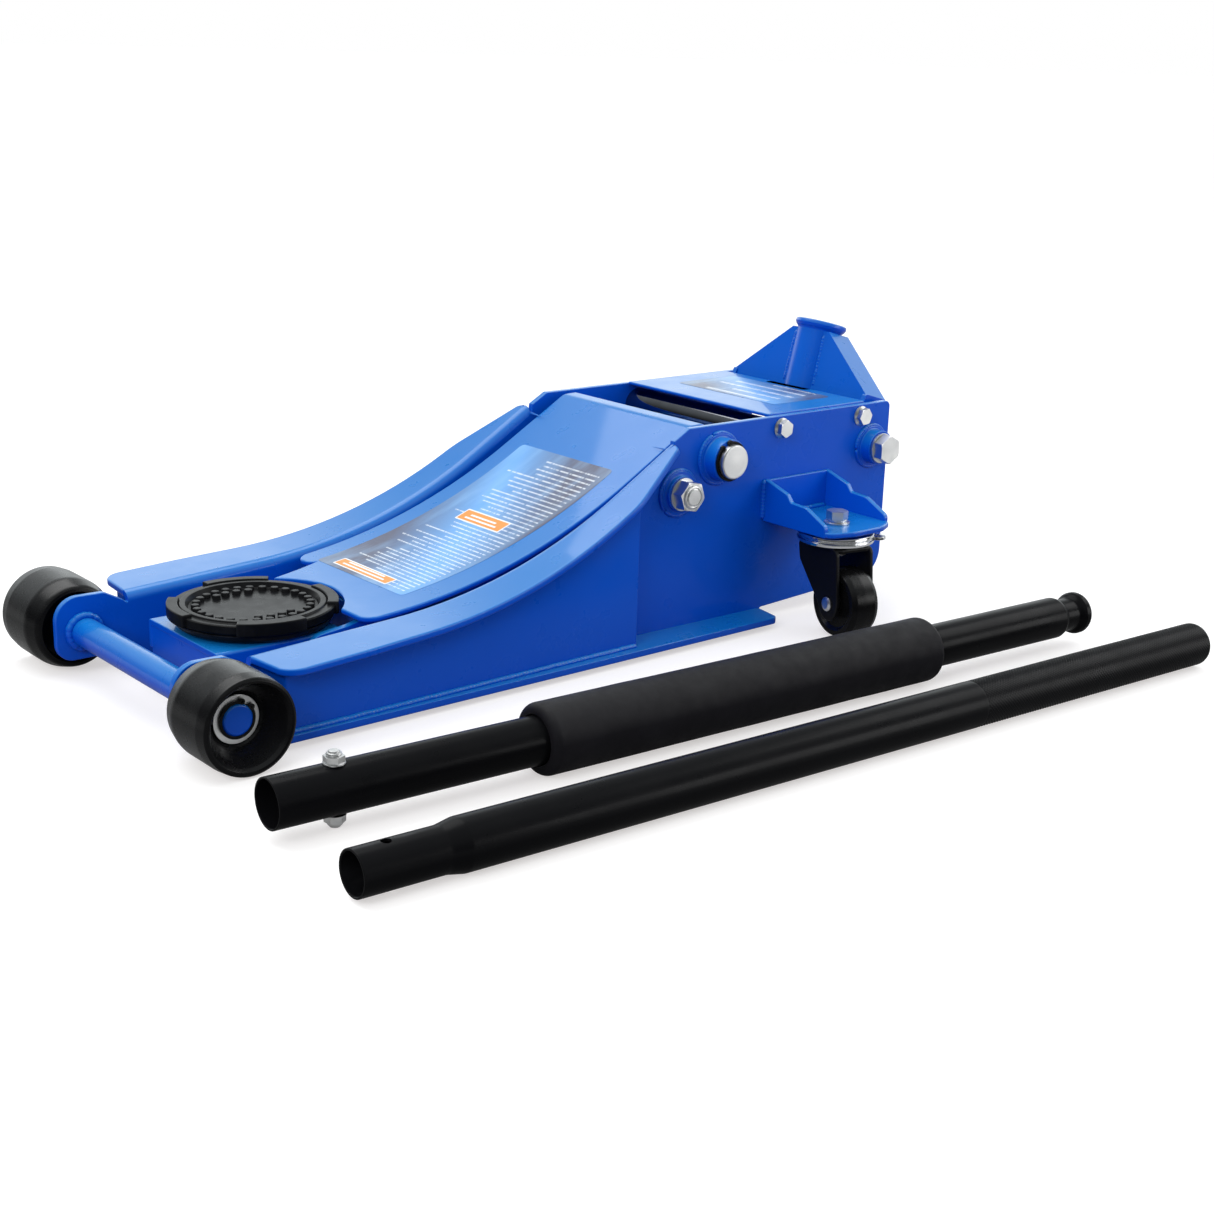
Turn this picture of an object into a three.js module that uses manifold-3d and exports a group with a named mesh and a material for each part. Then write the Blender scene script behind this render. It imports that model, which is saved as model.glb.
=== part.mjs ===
// Low-profile hydraulic floor jack with its two-piece handle laid beside it.
// Millimetres, +Z up. +X runs from the saddle end to the handle end and -Y is the right-hand side.
// The pieces are drawn from a point on the ground, on the centre plane, below the front axle; the
// finished group is then moved so that its origin is the centre of the saddle's seat.
import * as THREE from 'three';
import { mergeVertices } from 'three/addons/utils/BufferGeometryUtils.js';
import Module from 'manifold-3d';

const wasm = await Module();
wasm.setup();

// ---- driving dimensions -------------------------------------------------------------------
const GAP = 0.3;                 // space left between pieces that rest on or slide in each other
const SEG = 14;                  // facets round a full turn on shafts and bores
const CHORD = 0.45;              // flatness allowed on rounded corners

const WHEEL_R = 37.5;            // front wheels
const WHEEL_OUT = 174;           // |y| of the outer face
const WHEEL_IN = 109.7;          // |y| of the inner face
const HUB_FACE = 150;            // |y| of the bottom of the outer dish
const AXLE_R = 12;
const AXLE_END = 155;

const SIDE_IN = 96.5;            // side plates
const SIDE_OUT = 102.5;
const BOX_TOP = 187;
const BOX_FRONT_X = 466;
const BOX_REAR_X = 719;
const BASE_Z = 5.2;              // underside of the base flange
const LEDGE_Z = 11.2;            // top of the base flange
const BASE_FRONT_X = 42;
const BASE_REAR_X = 556;
const BASE_OUT_FRONT = 143;
const BASE_OUT_REAR = 133.5;

const FLANGE_T = 6;              // swept top flange
const FLANGE_FRONT = [46, 64.2];
const FLANGE_KNEE = [283.4, 77.4, 480];
const FLANGE_TIP = [446, 175.5];
const FLANGE_OUT_FRONT = 152.5;
const FLANGE_OUT_MID = 136;
const FLANGE_OUT_TIP = 113;

const SKIRT_T = 5;               // boxed-in outer skirt under the top flange
const SKIRT_FRONT_X = 47;
const SKIRT_REAR_X = 393;
const SKIRT_OUT_FRONT = 137.5;
const SKIRT_OUT_REAR = 125.6;

const PIVOT = [500.5, 157.5];    // lift-arm pivot, X and Z
const PIVOT_R = 15;
const PIVOT_END = 125;
const LINK = [454.4, 132.3];     // rear pivot of the levelling links
const LINK_R = 8;
const YOKE = [694.9, 146.6];     // handle-yoke pivot
const YOKE_R = 9;
const DECK_BOLTS = [[576.6, 175.8], [679.5, 176.3]];
const DECK_BOLT_R = 5;

const DECK_FRONT_X = 565;        // cover over the power unit
const DECK_REAR_X = 690;
const DECK_TOP = 188.5;
const DECK_T = 3;
const CROSS = [578, 165];        // polished cross tube
const CROSS_R = 16;

const COVER_HALF = 88.9;         // swept cover plate of the lift arm
const COVER_T = 4.5;
const COVER_FRONT = [147.5, 68.8];
const COVER_KNEE = [289.9, 75, 565];
const COVER_CREST = [479, 185.5, 14];
const COVER_REAR = [496, 186, 6];
const COVER_LIP = [498.5, 180];
const ARM_IN = 60;               // side plates of the lift arm
const ARM_OUT = 66;
const ARM_TUBE_R = 20;
const CRANK = 62;                // crank length from the pivot to the ram roller
const CRANK_REST = THREE.MathUtils.degToRad(30);
const CRANK_IN = 19;
const CRANK_OUT = 27;
const ROLLER_R = 12;

const FRONT_PIN = [124, 40];     // pin joining the arm and the saddle bracket
const FRONT_PIN_R = 7;
const BRACKET_HALF = 56;
const BRACKET_T = 5;
const BRACKET_X = [36.3, 148];
const BRACKET_TOP = 52.6;
const LINK_PIN_R = 5;
const LINK_IN = 72;              // levelling links
const LINK_OUT = 80;
const LINK_HALF_H = 4.5;

const SADDLE_X = 99.3;
const SADDLE_R = 67.4;
const SADDLE_TOP = 70.5;
const SADDLE_FLOOR = 66;
const STUD_COUNT = 28;
const STUD_RING_R = 45;
const STUD_R = 2.9;
const LUG_COUNT = 4;
const LUG_SPAN = THREE.MathUtils.degToRad(50);
const LUG_PHASE = THREE.MathUtils.degToRad(-16);

const RAM_Z = 100;               // hydraulic ram
const RAM_R = 16;
const CYLINDER_R = 30;
const CYLINDER_X = [556, 612];
const BLOCK_X = [612.2, 650];
const BLOCK_HALF = 60;
const BLOCK_Z = [66, 140];
const PLUNGER_Y = 20;
const PLUNGER_Z = 122;
const PLUNGER_R = 7;

const LEAN = THREE.MathUtils.degToRad(15);   // rest lean of the handle socket
const YOKE_HALF = 90;
const YOKE_TOP_HALF = 21;
const YOKE_DEPTH = 28;
const YOKE_T = 5;
const YOKE_FRONT = -7;           // front face of the web, measured from the pivot across the lean
const SOCKET_R = 21.5;
const SOCKET_BORE = 18.9;
const SOCKET_OFFSET = 5.5;
const SOCKET_FOOT = 32;          // height of the tube ends above the pivot, along the lean
const SOCKET_TOP = 105;
const PUMP_ARM = 26;
const PUMP_REST = THREE.MathUtils.degToRad(30);
const PUMP_ROLLER_R = 9;

const CASTER_X = 593;            // rear casters
const CASTER_Y = 161;
const CASTER_TRAIL = 20;
const CASTER_SWING = THREE.MathUtils.degToRad(80);   // rest turn of the forks, wheels outward
const CASTER_R = 31.5;
const CASTER_HALF_W = 14;
const CASTER_FLOOR = 93.5;
const SHELF_X = [558, 639];
const SHELF_OUT = 193;
const SHELF_T = 5;

const LOWER_FRONT = [-46.5, -275.5];   // lower handle, lying on its foam grip
const LOWER_REAR = [749.75, -311.6];
const LOWER_R = 17.96;
const LOWER_BORE = 16.4;
const FOAM_R = 27.05;
const FOAM_S = [209.5, 601.8];
const UPPER_FRONT = [-49, -380.6];     // upper handle, lying on the ground
const UPPER_REAR = [780.9, -411.8];
const UPPER_R = 18.45;
const UPPER_BORE = 16.6;
const SWAGE_R = 16;

// ---- materials ----------------------------------------------------------------------------
function makeMaterial(color, roughness, metalness) {
  return new THREE.MeshStandardMaterial({ color, roughness, metalness });
}
const bluePaint = () => makeMaterial(0x0b3fb4, 0.28, 0.1);
const blackPaint = () => makeMaterial(0x111114, 0.35, 0.2);
const blackPlastic = () => makeMaterial(0x17171a, 0.5, 0.0);
const blackRubber = () => makeMaterial(0x1d1d21, 0.7, 0.0);
const foamRubber = () => makeMaterial(0x26262b, 0.95, 0.0);
const zinc = () => makeMaterial(0xb9bdc2, 0.35, 0.9);
const polished = () => makeMaterial(0xc9ccd1, 0.15, 1.0);
const castIron = () => makeMaterial(0x2b2d30, 0.6, 0.6);

// ---- solid-building helpers ---------------------------------------------------------------
function signedVolume(geometry) {
  const p = geometry.getAttribute('position');
  const index = geometry.getIndex();
  const a = new THREE.Vector3();
  const b = new THREE.Vector3();
  const c = new THREE.Vector3();
  let volume = 0;
  for (let i = 0; i < index.count; i += 3) {
    a.fromBufferAttribute(p, index.getX(i));
    b.fromBufferAttribute(p, index.getX(i + 1));
    c.fromBufferAttribute(p, index.getX(i + 2));
    volume += a.dot(b.cross(c)) / 6;
  }
  return volume;
}

// Welds the corners together and turns every face outward.
function welded(geometry) {
  geometry.deleteAttribute('normal');
  geometry.deleteAttribute('uv');
  const g = mergeVertices(geometry, 1e-4);
  if (signedVolume(g) < 0) {
    const index = g.getIndex();
    for (let i = 0; i < index.count; i += 3) {
      const first = index.getX(i);
      index.setX(i, index.getX(i + 1));
      index.setX(i + 1, first);
    }
  }
  return g;
}

function toSolid(geometry) {
  const g = welded(geometry);
  const vertProperties = new Float32Array(g.getAttribute('position').array);
  const triVerts = new Uint32Array(g.getIndex().array);
  return new wasm.Manifold(new wasm.Mesh({ numProp: 3, vertProperties, triVerts }));
}

function toGeometry(solid) {
  const mesh = solid.asOriginal().simplify(0.02).getMesh();
  const g = new THREE.BufferGeometry();
  g.setAttribute('position', new THREE.Float32BufferAttribute(mesh.vertProperties, 3));
  g.setIndex(new THREE.Uint32BufferAttribute(mesh.triVerts, 1));
  return g;
}

function unite(solids) {
  return solids.reduce((sum, solid) => sum.add(solid));
}

// Turns corners given as [u, v, radius] into points, rounding each corner that has a radius.
function rounded(corners, closed = true) {
  const count = corners.length;
  const points = [];
  for (let i = 0; i < count; i += 1) {
    const [u, v, r = 0] = corners[i];
    const here = new THREE.Vector2(u, v);
    const end = !closed && (i === 0 || i === count - 1);
    if (r === 0 || end) {
      points.push(here);
      continue;
    }
    const before = new THREE.Vector2(...corners[(i + count - 1) % count]).sub(here).normalize();
    const after = new THREE.Vector2(...corners[(i + 1) % count]).sub(here).normalize();
    const half = before.angleTo(after) / 2;
    const turn = Math.PI - 2 * half;
    const reach = r / Math.tan(half);
    const centre = before.clone().add(after).normalize().multiplyScalar(r / Math.sin(half)).add(here);
    const start = before.clone().multiplyScalar(reach).add(here).sub(centre);
    const sign = Math.sign(-before.cross(after)) || 1;
    const steps = Math.max(2, Math.ceil(turn / (2 * Math.acos(1 - Math.min(CHORD / r, 0.3)))));
    for (let k = 0; k <= steps; k += 1) {
      const angle = (sign * turn * k) / steps;
      points.push(start.clone().rotateAround(new THREE.Vector2(), angle).add(centre));
    }
  }
  return points;
}

// Moves an open run of corners sideways by d, to the left of its direction of travel.
function offsetRun(corners, d) {
  const sides = [];
  for (let i = 0; i + 1 < corners.length; i += 1) {
    const a = new THREE.Vector2(...corners[i]);
    const dir = new THREE.Vector2(...corners[i + 1]).sub(a).normalize();
    const normal = new THREE.Vector2(-dir.y, dir.x);
    sides.push({ a: a.addScaledVector(normal, d), dir, normal });
  }
  return corners.map(([u, v, r = 0], i) => {
    if (i === 0) return [sides[0].a.x, sides[0].a.y];
    const last = sides[i - 1];
    if (i === corners.length - 1) {
      const p = new THREE.Vector2(u, v).addScaledVector(last.normal, d);
      return [p.x, p.y];
    }
    const next = sides[i];
    const bend = last.dir.cross(next.dir);
    const along = next.a.clone().sub(last.a).cross(next.dir) / bend;
    const p = last.a.clone().addScaledVector(last.dir, along);
    return [p.x, p.y, Math.max(0, r - Math.sign(bend) * d)];
  });
}

function outline(points, holes = []) {
  const shape = new THREE.Shape(points);
  for (const [u, v, r] of holes) {
    const hole = new THREE.Path();
    const outer = r / Math.cos(Math.PI / SEG);
    for (let i = 0; i <= SEG; i += 1) {
      const t = (2 * Math.PI * i) / SEG;
      const method = i === 0 ? 'moveTo' : 'lineTo';
      hole[method](u + outer * Math.cos(t), v + outer * Math.sin(t));
    }
    shape.holes.push(hole);
  }
  return shape;
}

function extrude(shape, depth) {
  return new THREE.ExtrudeGeometry(shape, { depth, bevelEnabled: false, steps: 1, curveSegments: 1 });
}

// Plate with an XZ outline, standing between y0 and y1.
function plateXZ(points, y0, y1, holes = []) {
  const g = extrude(outline(points, holes), Math.abs(y1 - y0));
  g.rotateX(Math.PI / 2);
  g.translate(0, Math.max(y0, y1), 0);
  return toSolid(g);
}

// Plate with an XY outline, lying between z0 and z1.
function plateXY(points, z0, z1, holes = []) {
  const g = extrude(outline(points, holes), z1 - z0);
  g.translate(0, 0, z0);
  return toSolid(g);
}

// Bar with a YZ outline, running from x0 to x1.
function barX(points, x0, x1, holes = []) {
  const g = extrude(outline(points, holes), x1 - x0);
  const turn = new THREE.Matrix4().makeBasis(
    new THREE.Vector3(0, 1, 0), new THREE.Vector3(0, 0, 1), new THREE.Vector3(1, 0, 0));
  g.applyMatrix4(turn);
  g.translate(x0, 0, 0);
  return toSolid(g);
}

function block(x0, x1, y0, y1, z0, z1) {
  const g = new THREE.BoxGeometry(x1 - x0, y1 - y0, z1 - z0);
  g.translate((x0 + x1) / 2, (y0 + y1) / 2, (z0 + z1) / 2);
  return toSolid(g);
}

// Body of revolution about +Y from [radius, y] points; the run starts and ends on the axis, or closes.
function revolve(profile, segments = SEG) {
  const ring = profile[0][0] > 0;
  const positions = [];
  const starts = [];
  for (const [r, h] of profile) {
    starts.push(positions.length / 3);
    if (r === 0) {
      positions.push(0, h, 0);
      continue;
    }
    for (let i = 0; i < segments; i += 1) {
      const t = (2 * Math.PI * i) / segments;
      positions.push(r * Math.cos(t), h, r * Math.sin(t));
    }
  }
  const index = [];
  const at = (k, i) => starts[k] + (profile[k][0] === 0 ? 0 : i % segments);
  const rows = ring ? profile.length : profile.length - 1;
  for (let k = 0; k < rows; k += 1) {
    const next = (k + 1) % profile.length;
    for (let i = 0; i < segments; i += 1) {
      if (profile[k][0] !== 0) index.push(at(k, i), at(k, i + 1), at(next, i));
      if (profile[next][0] !== 0) index.push(at(k, i + 1), at(next, i + 1), at(next, i));
    }
  }
  const g = new THREE.BufferGeometry();
  g.setAttribute('position', new THREE.Float32BufferAttribute(positions, 3));
  g.setIndex(index);
  return g;
}

function revolveY(profile, x, z, segments = SEG) {
  return toSolid(revolve(profile, segments).translate(x, 0, z));
}

function revolveZ(profile, x, y, segments = SEG) {
  return toSolid(revolve(profile, segments).rotateX(Math.PI / 2).translate(x, y, 0));
}

function revolveX(profile, y, z, segments = SEG) {
  return toSolid(revolve(profile, segments).rotateZ(-Math.PI / 2).translate(0, y, z));
}

function rodProfile(r, a, b, chamfer = 0) {
  return chamfer > 0
    ? [[0, a], [r - chamfer, a], [r, a + chamfer], [r, b - chamfer], [r - chamfer, b], [0, b]]
    : [[0, a], [r, a], [r, b], [0, b]];
}

function ringProfile(inner, outer, a, b) {
  return [[inner, a], [outer, a], [outer, b], [inner, b]];
}

function hexPoints(across, u = 0, v = 0) {
  const r = across / Math.sqrt(3);
  return Array.from({ length: 6 }, (_, i) => {
    const t = (Math.PI * i) / 3;
    return new THREE.Vector2(u + r * Math.cos(t), v + r * Math.sin(t));
  });
}

// Round bar swept along a run of points, closed at both ends.
function sweep(path, radius, sides = 8) {
  const positions = [];
  const index = [];
  const tangent = new THREE.Vector3();
  const side = new THREE.Vector3();
  const up = new THREE.Vector3();
  const axis = new THREE.Vector3(1, 0, 0);
  path.forEach((p, k) => {
    tangent.subVectors(path[Math.min(k + 1, path.length - 1)], path[Math.max(k - 1, 0)]).normalize();
    side.crossVectors(tangent, axis).normalize();
    up.crossVectors(side, tangent);
    for (let i = 0; i < sides; i += 1) {
      const t = (2 * Math.PI * i) / sides;
      const q = p.clone().addScaledVector(side, radius * Math.cos(t));
      q.addScaledVector(up, radius * Math.sin(t));
      positions.push(q.x, q.y, q.z);
    }
  });
  for (let k = 0; k + 1 < path.length; k += 1) {
    for (let i = 0; i < sides; i += 1) {
      const a = k * sides + i;
      const b = k * sides + ((i + 1) % sides);
      index.push(a, b, a + sides, b, b + sides, a + sides);
    }
  }
  const last = (path.length - 1) * sides;
  for (let i = 1; i + 1 < sides; i += 1) {
    index.push(0, i + 1, i, last, last + i, last + i + 1);
  }
  const g = new THREE.BufferGeometry();
  g.setAttribute('position', new THREE.Float32BufferAttribute(positions, 3));
  g.setIndex(index);
  return toSolid(g);
}

// ---- frame --------------------------------------------------------------------------------
const flangeRun = [FLANGE_FRONT, FLANGE_KNEE, FLANGE_TIP];
const TIP_BACK_X = 449;
const BOSS_STEP = 2.8;
const LUG_FRONT_X = -23.5;
const LUG_Z = [14.5, 67.5];

// Side sheet: axle lug at the front, swept top edge, box section at the rear.
function sideSheet(s) {
  const corners = [
    [LUG_FRONT_X, LUG_Z[0], 14], [LUG_FRONT_X, LUG_Z[1], 20], [30, 66.5, 8],
    FLANGE_FRONT, FLANGE_KNEE, FLANGE_TIP, [TIP_BACK_X, 177.5, 1],
    [BOX_FRONT_X, BOX_TOP, 3], [BOX_REAR_X, BOX_TOP, 6], [BOX_REAR_X, 19.5, 26],
    [BASE_REAR_X + 6, LEDGE_Z], [BASE_REAR_X, BASE_Z], [BASE_FRONT_X, BASE_Z], [BASE_FRONT_X - 8, LUG_Z[0]],
  ];
  const holes = [
    [0, WHEEL_R, AXLE_R + GAP], [...PIVOT, PIVOT_R + GAP], [...LINK, LINK_R + GAP], [...YOKE, YOKE_R + GAP],
    ...DECK_BOLTS.map(([x, z]) => [x, z, DECK_BOLT_R + GAP]),
  ];
  return plateXZ(rounded(corners), s * SIDE_IN, s * SIDE_OUT, holes);
}

function topFlange(s) {
  const top = rounded(flangeRun, false);
  const under = rounded(offsetRun(flangeRun, -FLANGE_T), false).reverse();
  const strip = plateXZ([...top, ...under], s * (SIDE_OUT - 1), s * (FLANGE_OUT_FRONT + 5));
  const plan = [
    [FLANGE_FRONT[0] + 1, SIDE_OUT - 1], [51, FLANGE_OUT_FRONT, 17], [110, FLANGE_OUT_FRONT - 1, 60],
    [385, FLANGE_OUT_MID, 60], [444, FLANGE_OUT_TIP, 6], [TIP_BACK_X, SIDE_OUT - 1],
  ].map(([x, y, r]) => [x, s * y, r]);
  return strip.intersect(plateXY(rounded(plan), 40, 200));
}

function baseFlange(s) {
  const plan = [
    [BASE_FRONT_X, SIDE_OUT - 1], [BASE_FRONT_X, BASE_OUT_FRONT, 6], [BASE_REAR_X - 2, BASE_OUT_REAR, 7],
    [BASE_REAR_X + 3, SIDE_OUT + 2, 2], [BASE_REAR_X, SIDE_OUT - 1],
  ].map(([x, y, r]) => [x, s * y, r]);
  return plateXY(rounded(plan), BASE_Z, LEDGE_Z);
}

function weldBoss([x, z], bore, steps, s) {
  const rings = [];
  let from = SIDE_OUT - 0.5;
  for (const [radius, to] of steps) {
    rings.push(revolveY(ringProfile((bore + GAP) / Math.cos(Math.PI / SEG), radius, s * from, s * to), x, z));
    from = to - 0.2;
  }
  return unite(rings);
}

function frameSide(s) {
  return unite([
    sideSheet(s), topFlange(s), baseFlange(s),
    weldBoss(PIVOT, PIVOT_R, [[22, SIDE_OUT + BOSS_STEP], [18.8, 118]], s),
    weldBoss(LINK, LINK_R, [[19.5, SIDE_OUT + BOSS_STEP], [15.5, 109]], s),
    weldBoss(YOKE, YOKE_R, [[19, SIDE_OUT + BOSS_STEP], [16, 116]], s),
    weldBoss([0, WHEEL_R], AXLE_R, [[16, WHEEL_IN - 1]], s),
  ]);
}

// Outer skirt with its two end walls, standing on the base flange under the top flange.
function skirt(s) {
  const start = SIDE_OUT + GAP / 3;
  const ring = [
    [SKIRT_FRONT_X, start], [SKIRT_FRONT_X, SKIRT_OUT_FRONT, 3], [SKIRT_REAR_X, SKIRT_OUT_REAR],
    [SKIRT_REAR_X, start], [SKIRT_REAR_X - SKIRT_T, start],
    [SKIRT_REAR_X - SKIRT_T, SKIRT_OUT_REAR - SKIRT_T], [SKIRT_FRONT_X + SKIRT_T, SKIRT_OUT_FRONT - SKIRT_T],
    [SKIRT_FRONT_X + SKIRT_T, start],
  ].map(([x, y, r]) => [x, s * y, r]);
  const wall = plateXY(rounded(ring), LEDGE_Z + GAP / 3, 170);
  const under = rounded(offsetRun(flangeRun, -FLANGE_T - GAP / 3), false);
  const room = [new THREE.Vector2(FLANGE_FRONT[0] - 20, under[0].y - 1), ...under,
    new THREE.Vector2(FLANGE_TIP[0], 0), new THREE.Vector2(FLANGE_FRONT[0] - 20, 0)];
  return wall.intersect(plateXZ(room, s * 90, s * 180));
}

function frontAxle() {
  return revolveY(rodProfile(AXLE_R, -AXLE_END, AXLE_END, 1.2), 0, WHEEL_R);
}

function deckCover() {
  const half = SIDE_IN - GAP;
  const drop = 20;
  const lip = 8;
  const bridge = [
    [-half, DECK_TOP - drop], [-half, DECK_TOP, 4], [half, DECK_TOP, 4], [half, DECK_TOP - drop],
    [half - DECK_T, DECK_TOP - drop], [half - DECK_T, DECK_TOP - DECK_T], [DECK_T - half, DECK_TOP - DECK_T],
    [DECK_T - half, DECK_TOP - drop],
  ];
  const channel = barX(rounded(bridge), DECK_FRONT_X, DECK_REAR_X);
  const tubeRoom = block(
    DECK_FRONT_X - 2, CROSS[0] + CROSS_R + 4, -SIDE_OUT, SIDE_OUT, BLOCK_Z[1], DECK_TOP - DECK_T);
  const nose = [
    [DECK_FRONT_X - 1, DECK_TOP - lip], [DECK_FRONT_X - 1, DECK_TOP, 3.5], [DECK_FRONT_X + 10, DECK_TOP],
    [DECK_FRONT_X + 10, DECK_TOP - DECK_T], [DECK_FRONT_X + 2, DECK_TOP - DECK_T],
    [DECK_FRONT_X + 2, DECK_TOP - lip],
  ];
  const bore = DECK_BOLT_R + GAP;
  const drill = revolveY(rodProfile(bore, -SIDE_OUT, SIDE_OUT), ...DECK_BOLTS[1]);
  const lipBar = plateXZ(rounded(nose), DECK_T - SIDE_IN, SIDE_IN - DECK_T);
  const socketRoom = block(
    DECK_REAR_X - 8, DECK_REAR_X + 1, -SOCKET_R - 4, SOCKET_R + 4, BLOCK_Z[1], DECK_TOP + 1);
  return unite([channel.subtract(tubeRoom), lipBar]).subtract(unite([drill, socketRoom]));
}

function crossTube() {
  return revolveY(rodProfile(CROSS_R, -SIDE_IN + GAP / 3, SIDE_IN - GAP / 3, 1), ...CROSS);
}

function casterBracket(s) {
  const inner = SIDE_OUT + GAP / 3;
  const z0 = CASTER_FLOOR;
  const plan = [
    [SHELF_X[0], inner], [SHELF_X[0], SHELF_OUT - 8, 10], [SHELF_X[0] + 26, SHELF_OUT, 20],
    [SHELF_X[1] - 20, SHELF_OUT, 20], [SHELF_X[1], SHELF_OUT - 10, 12], [SHELF_X[1], inner],
  ].map(([x, y, r]) => [x, s * y, r]);
  const floor = plateXY(rounded(plan), z0, z0 + SHELF_T, [[CASTER_X, s * CASTER_Y, 6 + GAP]]);
  const side = [
    [inner, z0], [inner, 132, 2], [132, 123], [137, 116.5], [156, 115.5], [180, z0 + 10, 5], [180, z0],
  ].map(([y, z, r]) => [s * y, z, r]);
  const walls = [SHELF_X[0], SHELF_X[1] - SHELF_T].map((x) => barX(rounded(side), x, x + SHELF_T));
  const span = [s * inner, s * (inner + 4)];
  const back = block(SHELF_X[0], SHELF_X[1], Math.min(...span), Math.max(...span), z0, 131);
  return unite([floor, ...walls, back]);
}

function hexBolt([x, z], s, { shank, from, seat, across, height, washer }) {
  const stem = revolveY(rodProfile(shank, s * from, s * (seat + 1)), x, z);
  const disc = revolveY(rodProfile(washer, s * seat, s * (seat + 2.2)), x, z);
  const head = plateXZ(hexPoints(across, x, z), s * (seat + 2), s * (seat + 2 + height));
  return unite([stem, disc, head]);
}

function pivotShaft() {
  return revolveY(rodProfile(PIVOT_R, -PIVOT_END, PIVOT_END, 1.5), ...PIVOT);
}

function pivotClip(s) {
  const seat = 118 + GAP / 3;
  return revolveY(ringProfile(PIVOT_R + 0.1, PIVOT_R + 2.6, s * seat, s * (seat + 2)), ...PIVOT);
}

function wheelWasher(s) {
  const from = HUB_FACE + GAP / 3;
  return revolveY([
    [AXLE_R + 0.1, s * from], [17.3, s * from], [17.3, s * (from + 1.8)], [15, s * (from + 1.8)],
    [15, s * (from + 3)], [AXLE_R + 0.1, s * (from + 3)],
  ], 0, WHEEL_R);
}

function frontWheel(s) {
  const bore = (AXLE_R + GAP) / Math.cos(Math.PI / SEG);
  const profile = [
    [bore, HUB_FACE], [18.5, HUB_FACE], [20.5, 152], [30.5, 171], [32.5, WHEEL_OUT], [34.5, WHEEL_OUT],
    [36.6, 171], [WHEEL_R, 160], [WHEEL_R, 124], [36.6, 113], [34, WHEEL_IN], [31, WHEEL_IN],
    [28, 120], [17, 120], [17, WHEEL_IN], [bore, WHEEL_IN],
  ].map(([r, y]) => [r, s * y]);
  return revolveY(profile, 0, WHEEL_R, 20);
}

// ---- power unit ---------------------------------------------------------------------------
function ramCylinder() {
  const bore = (RAM_R + GAP) / Math.cos(Math.PI / SEG);
  const [a, b] = CYLINDER_X;
  return revolveX([
    [bore, a], [CYLINDER_R - 7, a], [CYLINDER_R - 6, a + 1], [CYLINDER_R - 6, a + 8], [CYLINDER_R, a + 9],
    [CYLINDER_R, b], [bore, b],
  ], 0, RAM_Z);
}

function pumpBlock() {
  const [x0, x1] = BLOCK_X;
  const trunnion = revolveY(rodProfile(13, -SIDE_IN + GAP, SIDE_IN - GAP), (x0 + x1) / 2, RAM_Z);
  const core = barX(rounded([
    [-BLOCK_HALF, BLOCK_Z[0], 8], [BLOCK_HALF, BLOCK_Z[0], 8], [BLOCK_HALF, 128, 8], [38, BLOCK_Z[1], 6],
    [-38, BLOCK_Z[1], 6], [-BLOCK_HALF, 128, 8],
  ]), x0, x1);
  const ramBore = revolveX(rodProfile(RAM_R + 2 * GAP, x0 - 2, x1 - 8), 0, RAM_Z);
  const plungerBore = rodProfile(PLUNGER_R + 2 * GAP, x0 + 2, x1 + 1);
  const bores = [-1, 1].map((s) => revolveX(plungerBore, s * PLUNGER_Y, PLUNGER_Z));
  const valveBore = revolveX(rodProfile(5 + GAP, x1 - 6, x1 + 1), 0, RELEASE_Z);
  return unite([core, trunnion]).subtract(unite([ramBore, ...bores, valveBore]));
}

const RELEASE_Z = 84;
function releaseValve() {
  const x = BLOCK_X[1];
  const stem = revolveX(rodProfile(5, x - 5, x + 6), 0, RELEASE_Z);
  const knuckle = revolveX(rodProfile(8.5, x + 2, x + 20, 1.5), 0, RELEASE_Z);
  const slot = block(x + 9, x + 21, -2.5, 2.5, RELEASE_Z - 10, RELEASE_Z + 10);
  return unite([stem, knuckle]).subtract(slot);
}

const ramPinX = PIVOT[0] + CRANK * Math.sin(CRANK_REST);
const ramPinZ = PIVOT[1] - CRANK * Math.cos(CRANK_REST);
const RAM_LEAD = 0.7;
function ramRod() {
  const face = ramPinX + ROLLER_R + RAM_LEAD;
  return revolveX([
    [0, face], [RAM_R, face], [RAM_R + 1, face + 1], [RAM_R + 1, face + 9], [RAM_R, face + 10],
    [RAM_R, BLOCK_X[1] - 10], [0, BLOCK_X[1] - 10],
  ], 0, RAM_Z);
}

const pumpX = YOKE[0] + PUMP_ARM * Math.sin(PUMP_REST);
const pumpZ = YOKE[1] - PUMP_ARM * Math.cos(PUMP_REST);
const plungerFace = pumpX - PUMP_ROLLER_R - RAM_LEAD;
function plunger(s) {
  return revolveX([
    [0, BLOCK_X[1] - 8], [PLUNGER_R, BLOCK_X[1] - 8], [PLUNGER_R, plungerFace - 5], [11.5, plungerFace - 5],
    [11.5, plungerFace - 1], [10.5, plungerFace], [0, plungerFace],
  ], s * PLUNGER_Y, PLUNGER_Z);
}

function plungerSpring(s) {
  const wire = 1.1;
  const coil = 9.2;
  const turns = 5.5;
  const x0 = BLOCK_X[1] + wire + GAP;
  const x1 = plungerFace - 5 - wire - GAP;
  const perTurn = 7;
  const count = Math.round(turns * perTurn);
  const path = Array.from({ length: count + 1 }, (_, i) => {
    const t = (2 * Math.PI * i) / perTurn;
    const x = x0 + ((x1 - x0) * i) / count;
    return new THREE.Vector3(x, s * PLUNGER_Y + coil * Math.cos(t), PLUNGER_Z + coil * Math.sin(t));
  });
  return sweep(path, wire, 4);
}

// ---- lift arm -----------------------------------------------------------------------------
const coverRun = [COVER_FRONT, COVER_KNEE, COVER_CREST, COVER_REAR, COVER_LIP];

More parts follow.
